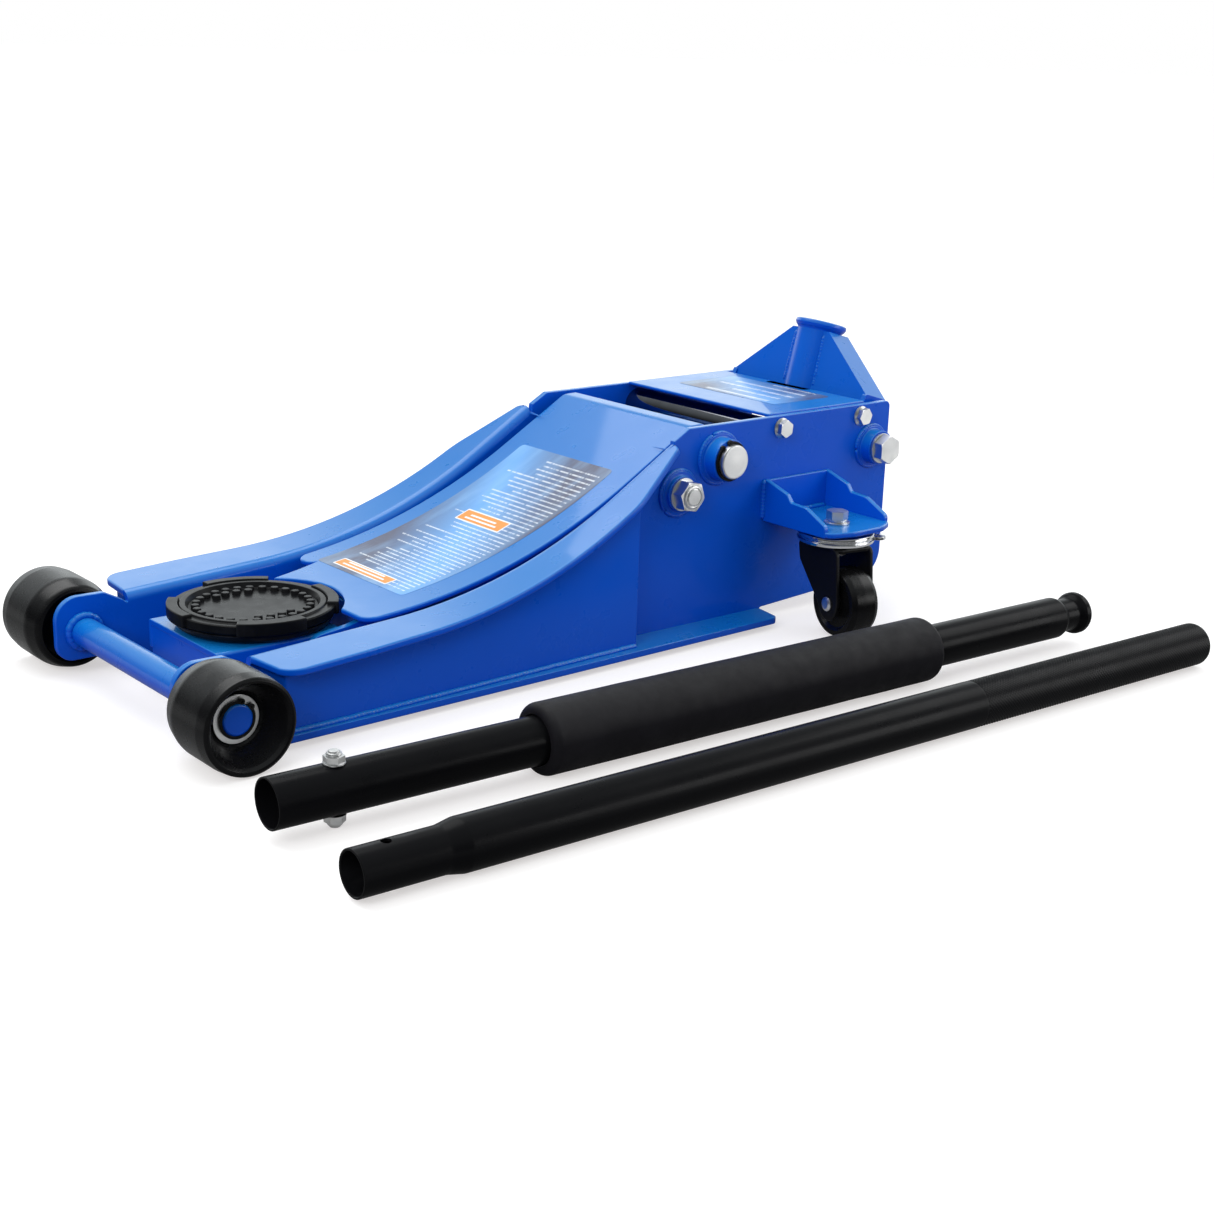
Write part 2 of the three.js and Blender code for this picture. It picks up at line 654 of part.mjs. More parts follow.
function armCover() {
  const top = rounded(coverRun, false);
  const under = rounded(offsetRun(coverRun, -COVER_T), false).reverse();
  const strip = plateXZ([...top, ...under], -COVER_HALF, COVER_HALF);
  const x0 = COVER_FRONT[0];
  const x1 = COVER_LIP[0] + 5;
  const plan = [[x0, -COVER_HALF, 13], [x1, -COVER_HALF], [x1, COVER_HALF], [x0, COVER_HALF, 13]];
  const saddleRoom = revolveZ(rodProfile(SADDLE_R + 4, 50, 100), SADDLE_X, 0, 28);
  return strip.intersect(plateXY(rounded(plan), 50, 200)).subtract(saddleRoom);
}

function armPlate(s) {
  const top = rounded(offsetRun([COVER_FRONT, COVER_KNEE, COVER_CREST], -COVER_T - GAP / 3), false)
    .filter((p) => p.x > 164 && p.x < 470);
  const nose = rounded([
    [165, 62.5], [146, 58, 10], [110, 54, 14], [110, 26.5, 13], [158, 27, 40], [330, 64, 120],
    [470, 128, 30], [512, 133, 16], [524, 150, 16], [520, 174, 12], [486, 178, 4], [470, 174],
  ], false);
  return plateXZ([...top, ...nose.reverse()], s * ARM_IN, s * ARM_OUT,
    [[...FRONT_PIN, FRONT_PIN_R + GAP], [...PIVOT, PIVOT_R + GAP]]);
}

function crankCheek(s) {
  const dx = Math.sin(CRANK_REST);
  const dz = -Math.cos(CRANK_REST);
  const half = 11;
  const at = (along, side, r) => [PIVOT[0] + dx * along - dz * side, PIVOT[1] + dz * along + dx * side, r];
  const corners = [
    at(-18, 18, 14), at(-18, -18, 14), at(20, -18, 10), at(CRANK + half - 0.2, -half, 10.5),
    at(CRANK + half - 0.2, half, 10.5), at(20, 18, 10),
  ];
  return plateXZ(rounded(corners), s * CRANK_IN, s * CRANK_OUT,
    [[...PIVOT, PIVOT_R + GAP], [ramPinX, ramPinZ, 5.2]]);
}

// Welded arm frame: two side plates, the pivot tube and the two crank cheeks.
function armFrame() {
  const bore = (PIVOT_R + GAP) / Math.cos(Math.PI / SEG);
  const tube = revolveY(ringProfile(bore, ARM_TUBE_R, -SIDE_IN + 1, SIDE_IN - 1), ...PIVOT);
  return unite([tube, armPlate(1), armPlate(-1), crankCheek(1), crankCheek(-1)]);
}

function ramRoller() {
  const half = CRANK_IN - GAP;
  const wheel = revolveY(rodProfile(ROLLER_R, -half, half, 1), ramPinX, ramPinZ, 20);
  return unite([wheel, revolveY(rodProfile(5, -CRANK_OUT - 2, CRANK_OUT + 2), ramPinX, ramPinZ, 12)]);
}

function frontPin() {
  return revolveY(rodProfile(FRONT_PIN_R, -ARM_OUT - 3, ARM_OUT + 3, 1), ...FRONT_PIN);
}

const linkPin = [FRONT_PIN[0] + LINK[0] - PIVOT[0], FRONT_PIN[1] + LINK[1] - PIVOT[1]];

function linkRod(s) {
  const [x0, z0] = linkPin;
  const [x1, z1] = LINK;
  const tilt = Math.atan2(z1 - z0, x1 - x0);
  const [c, d] = [Math.cos(tilt), Math.sin(tilt)];
  const at = (x, z, along, side, r) => [x + along * c - side * d, z + along * d + side * c, r];
  const small = 8.6;
  const big = 13;
  const h = LINK_HALF_H;
  const corners = [
    at(x0, z0, -small, small, small - 0.2), at(x0, z0, small, small, 5), at(x0, z0, small + 6, h, 5),
    at(x1, z1, -big - 8, h, 6), at(x1, z1, -big + 2, big, 8), at(x1, z1, big, big, big - 0.3),
    at(x1, z1, big, -big, big - 0.3), at(x1, z1, -big + 2, -big, 8), at(x1, z1, -big - 8, -h, 6),
    at(x0, z0, small + 6, -h, 5), at(x0, z0, small, -small, 5), at(x0, z0, -small, -small, small - 0.2),
  ];
  return plateXZ(rounded(corners), s * LINK_IN, s * LINK_OUT,
    [[...linkPin, LINK_PIN_R + GAP], [...LINK, LINK_R + GAP]]);
}

// ---- saddle -------------------------------------------------------------------------------
function saddleBracket() {
  const [x0, x1] = BRACKET_X;
  const side = [
    [x0, 29, 2], [x0, BRACKET_TOP], [x1, BRACKET_TOP], [x1, 35, 6], [134, 28, 8], [98, 22, 6],
    [90, 6.2, 7.5], [66, 6.2, 7.5], [58, 25, 6],
  ];
  const holes = [[...FRONT_PIN, FRONT_PIN_R + GAP], [...linkPin, LINK_PIN_R + GAP / 2]];
  const inner = BRACKET_HALF - BRACKET_T;
  const walls = [-1, 1].map((s) => plateXZ(rounded(side), s * inner, s * BRACKET_HALF, holes));
  const topPlan = [[x0, -inner - 1], [x1, -inner - 1], [x1, inner + 1], [x0, inner + 1]];
  const top = plateXY(rounded(topPlan), BRACKET_TOP - BRACKET_T, BRACKET_TOP, [[SADDLE_X, 0, 13 + GAP]]);
  const front = block(x0, x0 + BRACKET_T, -inner - 1, inner + 1, 29, BRACKET_TOP);
  return unite([...walls, top, front]);
}

function linkPinRod() {
  return revolveY(rodProfile(LINK_PIN_R, -LINK_OUT - 4, LINK_OUT + 4, 0.8), ...linkPin);
}

function saddleCup() {
  const z = BRACKET_TOP + GAP;
  return revolveZ([
    [0, 33], [12, 33], [13, 34], [13, z], [56, z], [61, z + 2.5], [63, z + 6], [63, 60], [0, 60],
  ], SADDLE_X, 0, 20);
}

function saddlePad() {
  const base = 60 + GAP / 3;
  const disc = revolveZ([
    [0, base], [62, base], [64.5, base + 2], [64.5, 68], [63.5, 69], [58, 69], [57, SADDLE_TOP],
    [53, SADDLE_TOP], [50, SADDLE_FLOOR], [0, SADDLE_FLOOR],
  ], SADDLE_X, 0, 28);
  const lugs = Array.from({ length: LUG_COUNT }, (_, k) => {
    const mid = LUG_PHASE + (2 * Math.PI * k) / LUG_COUNT;
    const steps = 3;
    const arc = (r) => Array.from({ length: steps + 1 }, (_v, i) => {
      const t = mid + LUG_SPAN * (i / steps - 0.5);
      return new THREE.Vector2(SADDLE_X + r * Math.cos(t), r * Math.sin(t));
    });
    return plateXY([...arc(SADDLE_R), ...arc(58.5).reverse()], base + 1, SADDLE_TOP + 1);
  });
  const studs = [];
  const addStud = (r, t) => {
    studs.push(revolveZ(rodProfile(STUD_R, SADDLE_FLOOR - 1, SADDLE_FLOOR + 2.4),
      SADDLE_X + r * Math.cos(t), r * Math.sin(t), 4));
  };
  const pitch = (2 * Math.PI) / STUD_COUNT;
  for (let i = 0; i < STUD_COUNT; i += 1) {
    addStud(STUD_RING_R, i * pitch);
  }
  for (const half of [0.5, 1.5, -0.5, -1.5]) {
    addStud(STUD_RING_R - 8.5, Math.PI / 2 + half * pitch * 1.2);
    addStud(STUD_RING_R - 8.5, -Math.PI / 2 + half * pitch * 1.2);
  }
  return unite([disc, ...lugs, ...studs]);
}

// ---- handle yoke --------------------------------------------------------------------------
// Shapes drawn across the lean (t rearward, s upward) are tipped back and moved to the pivot.
function tipped(solid) {
  const m = new THREE.Matrix4().makeRotationY(LEAN).setPosition(YOKE[0], 0, YOKE[1]);
  const g = toGeometry(solid);
  g.applyMatrix4(m);
  return toSolid(g);
}

function yokeFrame() {
  const foot = 44;
  const crown = 96;
  const trapezoid = (half, topHalf, low, high) => rounded([
    [-half, low], [-half, foot, 3], [-topHalf, high], [topHalf, high], [half, foot, 3], [half, low]]);
  const shell = barX(trapezoid(YOKE_HALF, YOKE_TOP_HALF + 3, 38, crown), YOKE_FRONT, YOKE_FRONT + YOKE_DEPTH);
  const room = barX(trapezoid(YOKE_HALF - YOKE_T, YOKE_TOP_HALF - 3, 30, crown + 1),
    YOKE_FRONT + YOKE_T, YOKE_FRONT + YOKE_DEPTH + 1);
  const tubeRoom = revolveZ(rodProfile(SOCKET_R + GAP / 3, 0, crown + 20), SOCKET_OFFSET, 0);
  const inset = YOKE_HALF - 2;
  const seat = block(YOKE_FRONT, YOKE_FRONT + YOKE_DEPTH - 2, -inset, inset, 25, SOCKET_FOOT - GAP);
  const tray = shell.subtract(room).subtract(tubeRoom);
  const web = block(YOKE_FRONT, YOKE_FRONT + YOKE_T, -inset, inset, 28, 40).subtract(tubeRoom);
  const upper = tipped(unite([tray, web, seat]));
  const [x, z] = YOKE;
  const cheek = [
    [x + 4, z + 46, 2], [x - 13, z + 4, 12], [x - 9, z - 20, 12], [x + 5, z - 35, 9], [x + 21, z - 34, 9],
    [x + 27, z - 14, 10], [x + 31, z + 38, 2],
  ];
  const holes = [[x, z, YOKE_R + GAP], [pumpX, pumpZ, 5.2]];
  const cheeks = [-1, 1].map((s) => plateXZ(rounded(cheek), s * (YOKE_HALF - YOKE_T), s * YOKE_HALF, holes));
  return unite([upper, ...cheeks]);
}

function handleSocket() {
  const z0 = SOCKET_FOOT;
  const z1 = SOCKET_TOP;
  const tube = [
    [SOCKET_BORE, z0], [SOCKET_R, z0], [SOCKET_R, z1 - 7], [24, z1 - 5.5], [25, z1 - 3.5], [24.4, z1 - 1],
    [23, z1], [20.6, z1], [SOCKET_BORE, z1 - 1.5],
  ];
  return tipped(revolveZ(tube, SOCKET_OFFSET, 0));
}

function pumpRoller() {
  const half = YOKE_HALF - YOKE_T - GAP;
  const bar = revolveY(rodProfile(PUMP_ROLLER_R, -half, half, 1), pumpX, pumpZ);
  return unite([bar, revolveY(rodProfile(5, -YOKE_HALF - 1, YOKE_HALF + 1), pumpX, pumpZ, 12)]);
}

// ---- casters ------------------------------------------------------------------------------
const RACE_Z = [82, CASTER_FLOOR - GAP];
const FORK_TOP = 81.7;
const FORK_T = 3.5;
const FORK_HALF = 20;
const casterAxleX = CASTER_X - CASTER_TRAIL;

// Forks and wheels are drawn trailing to the front, then turned about the swivel to their rest heading.
function swung(solid, s) {
  const turn = new THREE.Matrix4().makeRotationZ(-s * CASTER_SWING);
  const g = toGeometry(solid);
  g.translate(-CASTER_X, -s * CASTER_Y, 0);
  g.applyMatrix4(turn);
  g.translate(CASTER_X, s * CASTER_Y, 0);
  return toSolid(g);
}

function casterBolt(s) {
  const seat = CASTER_FLOOR + SHELF_T + GAP / 3;
  const y = s * CASTER_Y;
  const stem = revolveZ(rodProfile(6, FORK_TOP - FORK_T - 8, seat + 1), CASTER_X, y);
  const washer = revolveZ(rodProfile(11.5, seat, seat + 2), CASTER_X, y);
  const head = plateXY(hexPoints(18, CASTER_X, y), seat + 1.8, seat + 13);
  const keeper = revolveZ(rodProfile(9.5, FORK_TOP - FORK_T - 8, FORK_TOP - FORK_T - 2.4), CASTER_X, y);
  return unite([stem, washer, head, keeper]);
}

function casterRace(s) {
  const bore = 6 + GAP;
  const [a, b] = RACE_Z;
  return revolveZ([
    [bore, a], [30, a], [33.5, a + 2], [34.5, a + 4.5], [32, a + 5.6], [34, a + 7], [33, a + 9.5],
    [28, b], [bore, b],
  ], CASTER_X, s * CASTER_Y, 18);
}

function casterFork(s) {
  const y = s * CASTER_Y;
  const crown = plateXY(rounded([
    [CASTER_X - 29, y - FORK_HALF, 8], [CASTER_X + 29, y - FORK_HALF, 8],
    [CASTER_X + 29, y + FORK_HALF, 8], [CASTER_X - 29, y + FORK_HALF, 8],
  ]), FORK_TOP - FORK_T, FORK_TOP, [[CASTER_X, y, 6 + GAP]]);
  const leg = [
    [CASTER_X - 29, FORK_TOP, 3], [CASTER_X + 29, FORK_TOP, 3], [CASTER_X + 25, 62, 10],
    [casterAxleX + 15, 30, 14], [casterAxleX + 6, 16, 12], [casterAxleX - 10, 17, 12],
    [casterAxleX - 14, 34, 14],
  ];
  const legs = [-1, 1].map((k) => plateXZ(rounded(leg), y + k * (FORK_HALF - FORK_T), y + k * FORK_HALF,
    [[casterAxleX, CASTER_R, 4 + GAP]]));
  return swung(unite([crown, ...legs]), s);
}

function casterWheel(s) {
  const bore = 4 + GAP;
  const w = CASTER_HALF_W;
  const profile = [
    [bore, -w - 1], [9, -w - 1], [9, -w + 3], [22, -w + 3], [25, -w], [29, -w], [CASTER_R - 0.4, -w + 4],
    [CASTER_R, 0], [CASTER_R - 0.4, w - 4], [29, w], [25, w], [22, w - 3], [9, w - 3],
    [9, w + 1], [bore, w + 1],
  ];
  return swung(toSolid(revolve(profile, 16).translate(casterAxleX, s * CASTER_Y, CASTER_R)), s);
}

function casterAxle(s) {
  const end = FORK_HALF + 2.6;
  const profile = [
    [0, -end], [4.5, -end], [6.4, -end + 1.4], [6.4, -FORK_HALF - GAP / 3], [4, -FORK_HALF - GAP / 3],
    [4, FORK_HALF + GAP / 3], [6.4, FORK_HALF + GAP / 3], [6.4, end - 1.4], [4.5, end], [0, end],
  ];
  return swung(toSolid(revolve(profile, 10).translate(casterAxleX, s * CASTER_Y, CASTER_R)), s);
}

// ---- handle pieces ------------------------------------------------------------------------
// Shapes drawn along +X from zero are turned about Z and laid between two points on the ground.
function laid(solid, front, rear, height) {
  const turn = Math.atan2(rear[1] - front[1], rear[0] - front[0]);
  const g = toGeometry(solid);
  g.applyMatrix4(new THREE.Matrix4().makeRotationZ(turn).setPosition(front[0], front[1], height));
  return toSolid(g);
}

const lowerLength = Math.hypot(LOWER_REAR[0] - LOWER_FRONT[0], LOWER_REAR[1] - LOWER_FRONT[1]);
const upperLength = Math.hypot(UPPER_REAR[0] - UPPER_FRONT[0], UPPER_REAR[1] - UPPER_FRONT[1]);
const CROSS_BOLT_S = 49;
const HANDLE_SEG = 16;           // a multiple of four, so that the tubes touch the floor

function lowerTube() {
  const L = lowerLength;
  const neck = 14.4;
  const tube = revolveX([
    [LOWER_BORE, 0.6], [LOWER_BORE + 0.6, 0], [LOWER_R, 0], [LOWER_R, L - 34], [LOWER_R - 1, L - 31],
    [neck, L - 28], [neck, L - 13], [17.2, L - 10], [18.4, L - 7], [18.4, L - 3], [17, L], [9, L],
    [9, L - 36], [LOWER_BORE, L - 42],
  ], 0, 0, HANDLE_SEG);
  const bolt = revolveZ(rodProfile(4 + GAP, -30, 30), CROSS_BOLT_S, 0);
  return laid(tube.subtract(bolt), LOWER_FRONT, LOWER_REAR, FOAM_R);
}

function foamGrip() {
  const [a, b] = FOAM_S;
  const soft = 5;
  const inner = (LOWER_R + GAP / 3) / Math.cos(Math.PI / HANDLE_SEG);
  const grip = revolveX([
    [inner, a], [FOAM_R - soft, a], [FOAM_R - 1.5, a + 1.5], [FOAM_R, a + soft], [FOAM_R, b - soft],
    [FOAM_R - 1.5, b - 1.5], [FOAM_R - soft, b], [inner, b],
  ], 0, 0, HANDLE_SEG);
  return laid(grip, LOWER_FRONT, LOWER_REAR, FOAM_R);
}

function handleBolt() {
  const nut = 8;
  const r = LOWER_R + GAP / 3;
  const rod = revolveZ(rodProfile(4, -r - nut, r + nut + 1), CROSS_BOLT_S, 0, 12);
  const nuts = [r, -r - nut].map((z) => plateXY(hexPoints(13, CROSS_BOLT_S, 0), z, z + nut));
  return laid(unite([rod, ...nuts]), LOWER_FRONT, LOWER_REAR, FOAM_R);
}

function upperTube() {
  const L = upperLength;
  const inner = SWAGE_R - 1.8;
  const tube = revolveX([
    [inner, 0.6], [inner + 0.6, 0], [SWAGE_R - 0.4, 0], [SWAGE_R, 1], [SWAGE_R, 58], [UPPER_R - 0.6, 74],
    [UPPER_R, 80], [UPPER_R, L - 1], [UPPER_R - 0.6, L], [UPPER_BORE + 0.4, L], [UPPER_BORE, L - 1],
    [UPPER_BORE, 82], [inner, 62],
  ], 0, 0, HANDLE_SEG);
  const hole = revolveZ(rodProfile(3.6, 0, 30), 24, 0, 10);
  return laid(tube.subtract(hole), UPPER_FRONT, UPPER_REAR, UPPER_R);
}

// ---- assembly -----------------------------------------------------------------------------
const jack = new THREE.Group();
jack.name = 'floor_jack';

function add(name, solid, material) {
  const mesh = new THREE.Mesh(toGeometry(solid), material);
  mesh.name = name;
  jack.add(mesh);
}

function addPair(name, make, material) {
  add(`${name}_R`, make(-1), material());
  add(`${name}_L`, make(1), material());
}

addPair('frame_side', frameSide, bluePaint);
addPair('skirt', skirt, bluePaint);
add('front_axle', frontAxle(), bluePaint());
add('deck_cover', deckCover(), bluePaint());
add('cross_tube', crossTube(), polished());
addPair('caster_bracket', casterBracket, bluePaint);
add('pivot_shaft', pivotShaft(), zinc());
addPair('pivot_clip', pivotClip, blackPaint);
const linkBolt = { shank: LINK_R, from: 70, seat: 109.1, across: 24, height: 13, washer: 14.5 };
addPair('link_bolt', (s) => hexBolt(LINK, s, linkBolt), zinc);
const yokeBolt = { shank: YOKE_R, from: 83, seat: 116.1, across: 27, height: 12, washer: 15.5 };
addPair('yoke_bolt', (s) => hexBolt(YOKE, s, yokeBolt), zinc);
DECK_BOLTS.forEach((at, i) => {
  const from = i === 0 ? SIDE_IN : 92.6;
  const spec = { shank: DECK_BOLT_R, from, seat: SIDE_OUT + 0.1, across: 14, height: 5.5, washer: 8.8 };
  addPair(`deck_bolt_${i === 0 ? 'front' : 'rear'}`, (s) => hexBolt(at, s, spec), zinc);
});
add('ram_cylinder', ramCylinder(), castIron());
add('pump_block', pumpBlock(), castIron());
add('release_valve', releaseValve(), zinc());
add('ram_rod', ramRod(), polished());
addPair('plunger', plunger, polished);
addPair('plunger_spring', plungerSpring, zinc);

add('arm_cover', armCover(), bluePaint());
add('arm_frame', armFrame(), bluePaint());
add('ram_roller', ramRoller(), zinc());
add('front_pin', frontPin(), zinc());
addPair('link_rod', linkRod, bluePaint);
add('saddle_bracket', saddleBracket(), bluePaint());
add('link_pin', linkPinRod(), zinc());
add('saddle_cup', saddleCup(), blackPaint());
add('saddle_pad', saddlePad(), blackRubber());

add('yoke_frame', yokeFrame(), bluePaint());
add('handle_socket', handleSocket(), bluePaint());
add('pump_roller', pumpRoller(), zinc());

addPair('wheel_front', frontWheel, blackPlastic);
addPair('wheel_washer', wheelWasher, zinc);
addPair('caster_bolt', casterBolt, zinc);
addPair('caster_race', casterRace, zinc);
addPair('caster_fork', casterFork, blackPaint);
addPair('caster_wheel', casterWheel, blackPlastic);
addPair('caster_axle', casterAxle, zinc);

add('handle_lower_tube', lowerTube(), blackPaint());
add('foam_grip', foamGrip(), foamRubber());
add('handle_bolt', handleBolt(), zinc());
add('handle_upper_tube', upperTube(), blackPaint());

jack.position.set(-SADDLE_X, 0, -SADDLE_FLOOR);

export default jack;
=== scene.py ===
"""Looks for a low-profile hydraulic floor jack with its two-piece handle lying beside it.

Shapes are drawn in millimetres from a point on the ground below the front axle (+X to the handle end,
+Y to the left, +Z up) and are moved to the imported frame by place(), which reads that point from the frame.
"""

import math
import random

import bmesh
import bpy
from mathutils import Matrix, Vector, noise


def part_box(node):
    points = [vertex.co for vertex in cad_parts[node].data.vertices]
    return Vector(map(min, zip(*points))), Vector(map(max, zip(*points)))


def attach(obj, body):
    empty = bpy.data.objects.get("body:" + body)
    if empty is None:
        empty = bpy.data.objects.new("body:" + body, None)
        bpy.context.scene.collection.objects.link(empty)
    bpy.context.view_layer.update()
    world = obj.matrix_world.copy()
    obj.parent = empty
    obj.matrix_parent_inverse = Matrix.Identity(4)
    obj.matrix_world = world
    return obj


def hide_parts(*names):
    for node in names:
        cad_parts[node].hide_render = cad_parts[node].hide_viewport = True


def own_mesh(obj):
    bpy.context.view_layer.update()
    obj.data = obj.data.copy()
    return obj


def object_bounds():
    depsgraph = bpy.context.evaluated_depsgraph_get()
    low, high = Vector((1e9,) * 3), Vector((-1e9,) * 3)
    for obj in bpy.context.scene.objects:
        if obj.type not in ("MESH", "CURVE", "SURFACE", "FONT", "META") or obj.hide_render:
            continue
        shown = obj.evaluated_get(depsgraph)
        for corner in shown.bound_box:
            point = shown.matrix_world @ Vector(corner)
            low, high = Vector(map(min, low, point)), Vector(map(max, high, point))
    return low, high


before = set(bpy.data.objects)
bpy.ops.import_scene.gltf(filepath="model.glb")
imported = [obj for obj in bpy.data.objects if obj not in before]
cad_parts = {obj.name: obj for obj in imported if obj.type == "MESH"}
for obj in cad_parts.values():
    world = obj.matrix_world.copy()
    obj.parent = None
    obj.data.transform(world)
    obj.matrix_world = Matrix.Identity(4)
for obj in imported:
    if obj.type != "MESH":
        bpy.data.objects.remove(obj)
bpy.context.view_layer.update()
random.seed(7)
noise.seed_set(7)

MM = 0.001
CHORD = 0.02                    # flatness of rounded corners, mm
SIDES = (("R", -1), ("L", 1))


def middle(node):
    low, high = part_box(node)
    return (low + high) / 2


ORIGIN = Vector((middle("front_axle").x, 0.0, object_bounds()[0].z))


def place(x, y, z):
    return ORIGIN + Vector((x, y, z)) * MM


def centre_mm(node):
    return (middle(node) - ORIGIN) / MM


def ends_mm(node):
    """Where a CAD node starts and ends along X."""
    return [(corner.x - ORIGIN.x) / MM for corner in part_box(node)]


# ---- driving dimensions, mm -----------------------------------------------------------------
WHEEL_R = 37.5
AXLE_R = 12.0
AXLE_END = 155.0
HUB_FACE = 150.0
SIDE_IN, SIDE_OUT = 96.5, 102.5
BASE_Z, LEDGE_Z = 5.2, 11.2
BASE_FRONT_X, BASE_REAR_X = 42.0, 556.0
BOX_TOP = 187.0
FLANGE_T = 6.0
FLANGE_RUN = [(37, 63.7), (283.4, 77.4, 480), (446, 175.5)]
FLANGE_ROLL = 8.0
FLANGE_OUT = (152.5, 135.0, 113.0)
ROLL_X = (38.5, 446.5)
SKIRT_X = (47.0, 393.0)
SKIRT_OUT = (137.5, 125.6)
PIVOT = (500.5, 157.5)
LINK = (454.4, 132.3)
YOKE = (694.9, 146.6)
DECK_BOLTS = ((576.6, 175.8), (679.5, 176.3))
DECK_X = (564.0, 690.0)
DECK_TOP = 188.5
DECK_T = 3.0
CROSS = (578.0, 165.0)
CROSS_R = 16.0
COVER_HALF = 88.9
COVER_T = 4.5
COVER_RUN = [(147.5, 68.8), (289.9, 75, 565), (479, 185.5, 14), (496, 186, 6), (498.5, 180)]
FRONT_PIN = (124.0, 40.0)
LINK_PIN = (FRONT_PIN[0] + LINK[0] - PIVOT[0], FRONT_PIN[1] + LINK[1] - PIVOT[1])
BRACKET_X = (36.3, 148.0)
BRACKET_TOP = 52.6
BRACKET_HALF = 56.0
SADDLE_X = 99.3
SADDLE_TOP = 70.5
SADDLE_FLOOR = 66.0
STUD_COUNT = 28
LEAN = math.radians(15)
SOCKET_OFFSET = 5.5
CASTER_X, CASTER_Y = 593.0, 161.0
CASTER_AXLE_X = 573.0
CASTER_SWING = math.radians(-80)
CASTER_R = 31.5
CASTER_FLOOR = 93.5
SHELF_X = (558.0, 639.0)
SHELF_OUT = 193.0
LOWER_ENDS = ((-46.5, -275.5), (749.75, -311.6))
UPPER_ENDS = ((-49.0, -380.6), (780.9, -411.8))
LOWER_R, LOWER_BORE = 17.96, 16.4
UPPER_R, UPPER_BORE = 18.45, 16.6
SWAGE_R = 16.0
FOAM_R = 27.05
FOAM_S = (209.5, 601.8)
BOLT_S = 49.0


# ---- outlines -------------------------------------------------------------------------------
def rounded(corners, closed=True, chord=CHORD):
    """Corners as (u, v, radius) become points, with each corner that has a radius rounded."""
    points = []
    count = len(corners)
    for i, corner in enumerate(corners):
        here = Vector(corner[:2])
        radius = corner[2] if len(corner) > 2 else 0
        if not radius or (not closed and i in (0, count - 1)):
            points.append(here)
            continue
        before = (Vector(corners[i - 1][:2]) - here).normalized()
        after = (Vector(corners[(i + 1) % count][:2]) - here).normalized()
        half = before.angle(after) / 2
        turn = math.pi - 2 * half
        if turn < 1e-3:
            points.append(here)
            continue
        centre = here + (before + after).normalized() * (radius / math.sin(half))
        start = here + before * (radius / math.tan(half)) - centre
        sign = -1 if before.x * after.y - before.y * after.x > 0 else 1
        step = 2 * math.acos(1 - min(chord / radius, 0.3))
        steps = max(3, math.ceil(turn / step))
        for k in range(steps + 1):
            a = sign * turn * k / steps
            c, s = math.cos(a), math.sin(a)
            points.append(centre + Vector((start.x * c - start.y * s, start.x * s + start.y * c)))
    return points


def offset_run(corners, d):
    """An open run of corners moved sideways by d, to the left of its direction of travel."""
    rays = []
    for a, b in zip(corners, corners[1:]):
        direction = (Vector(b[:2]) - Vector(a[:2])).normalized()
        normal = Vector((-direction.y, direction.x))
        rays.append((Vector(a[:2]) + normal * d, direction))
    moved = [tuple(rays[0][0])]
    for i in range(1, len(corners) - 1):
        (p, u), (q, v) = rays[i - 1], rays[i]
        bend = u.x * v.y - u.y * v.x
        gap = q - p
        point = p + u * ((gap.x * v.y - gap.y * v.x) / bend)
        radius = corners[i][2] if len(corners[i]) > 2 else 0
        if radius:
            radius = max(0.0, radius - math.copysign(d, bend))
        moved.append((point.x, point.y, radius))
    p, u = rays[-1]
    last = Vector(corners[-1][:2]) + Vector((-u.y, u.x)) * d
    moved.append((last.x, last.y))
    return moved


def height_on(run, x):
    for a, b in zip(run, run[1:]):
        if x <= b[0]:
            t = (x - a[0]) / max(b[0] - a[0], 1e-9)
            return a[1] + (b[1] - a[1]) * t
    return run[-1][1]


def upright(run, x, reach=0.4):
    """The unit normal of an XZ run at x, on its upper side."""
    slope = (height_on(run, x + reach) - height_on(run, x - reach)) / (2 * reach)
    return Vector((-slope, 0, 1)).normalized()


def arc(u, v, r, start, turn, steps):
    """Points along part of a circle, one more than the steps."""
    angles = [start + turn * k / steps for k in range(steps + 1)]
    return [(u + r * math.cos(a), v + r * math.sin(a)) for a in angles]


def oblong(u0, v0, u1, v1, radius=0.0):
    return rounded([(u0, v0, radius), (u1, v0, radius), (u1, v1, radius), (u0, v1, radius)])


def even(far_end, middle_corners=()):
    """A turned profile with two like ends, from the corners of its far end."""
    return [(c[0], -c[1], *c[2:]) for c in far_end[::-1]] + [*middle_corners, *far_end]


# ---- solids, in millimetres -----------------------------------------------------------------
PLANES = {
    "xz": lambda u, v, w: (u, w, v),
    "xy": lambda u, v, w: (u, v, w),
    "yz": lambda u, v, w: (w, u, v),
}


def soften(bm, width):
    """Rounds off every edge that turns by more than 40 degrees."""
    bmesh.ops.recalc_face_normals(bm, faces=bm.faces)
    edges = [e for e in bm.edges
             if len(e.link_faces) == 2 and e.calc_face_angle(0) > math.radians(40)]
    bmesh.ops.bevel(bm, geom=edges, offset=width, offset_type="OFFSET", segments=3,
                    profile=0.5, affect="EDGES", clamp_overlap=False)
    return bm


def wrap(bm, rings, loop=False):
    """A closed skin over rings of vertices: a loop of them, or a run with both ends capped."""
    count = len(rings[0])
    for a, b in zip(rings, rings[1:] + (rings[:1] if loop else [])):
        for i in range(count):
            j = (i + 1) % count
            bm.faces.new((a[i], a[j], b[j], b[i]))
    if not loop:
        bm.faces.new(rings[0][::-1])
        bm.faces.new(rings[-1])
    bmesh.ops.recalc_face_normals(bm, faces=bm.faces)
    return bm


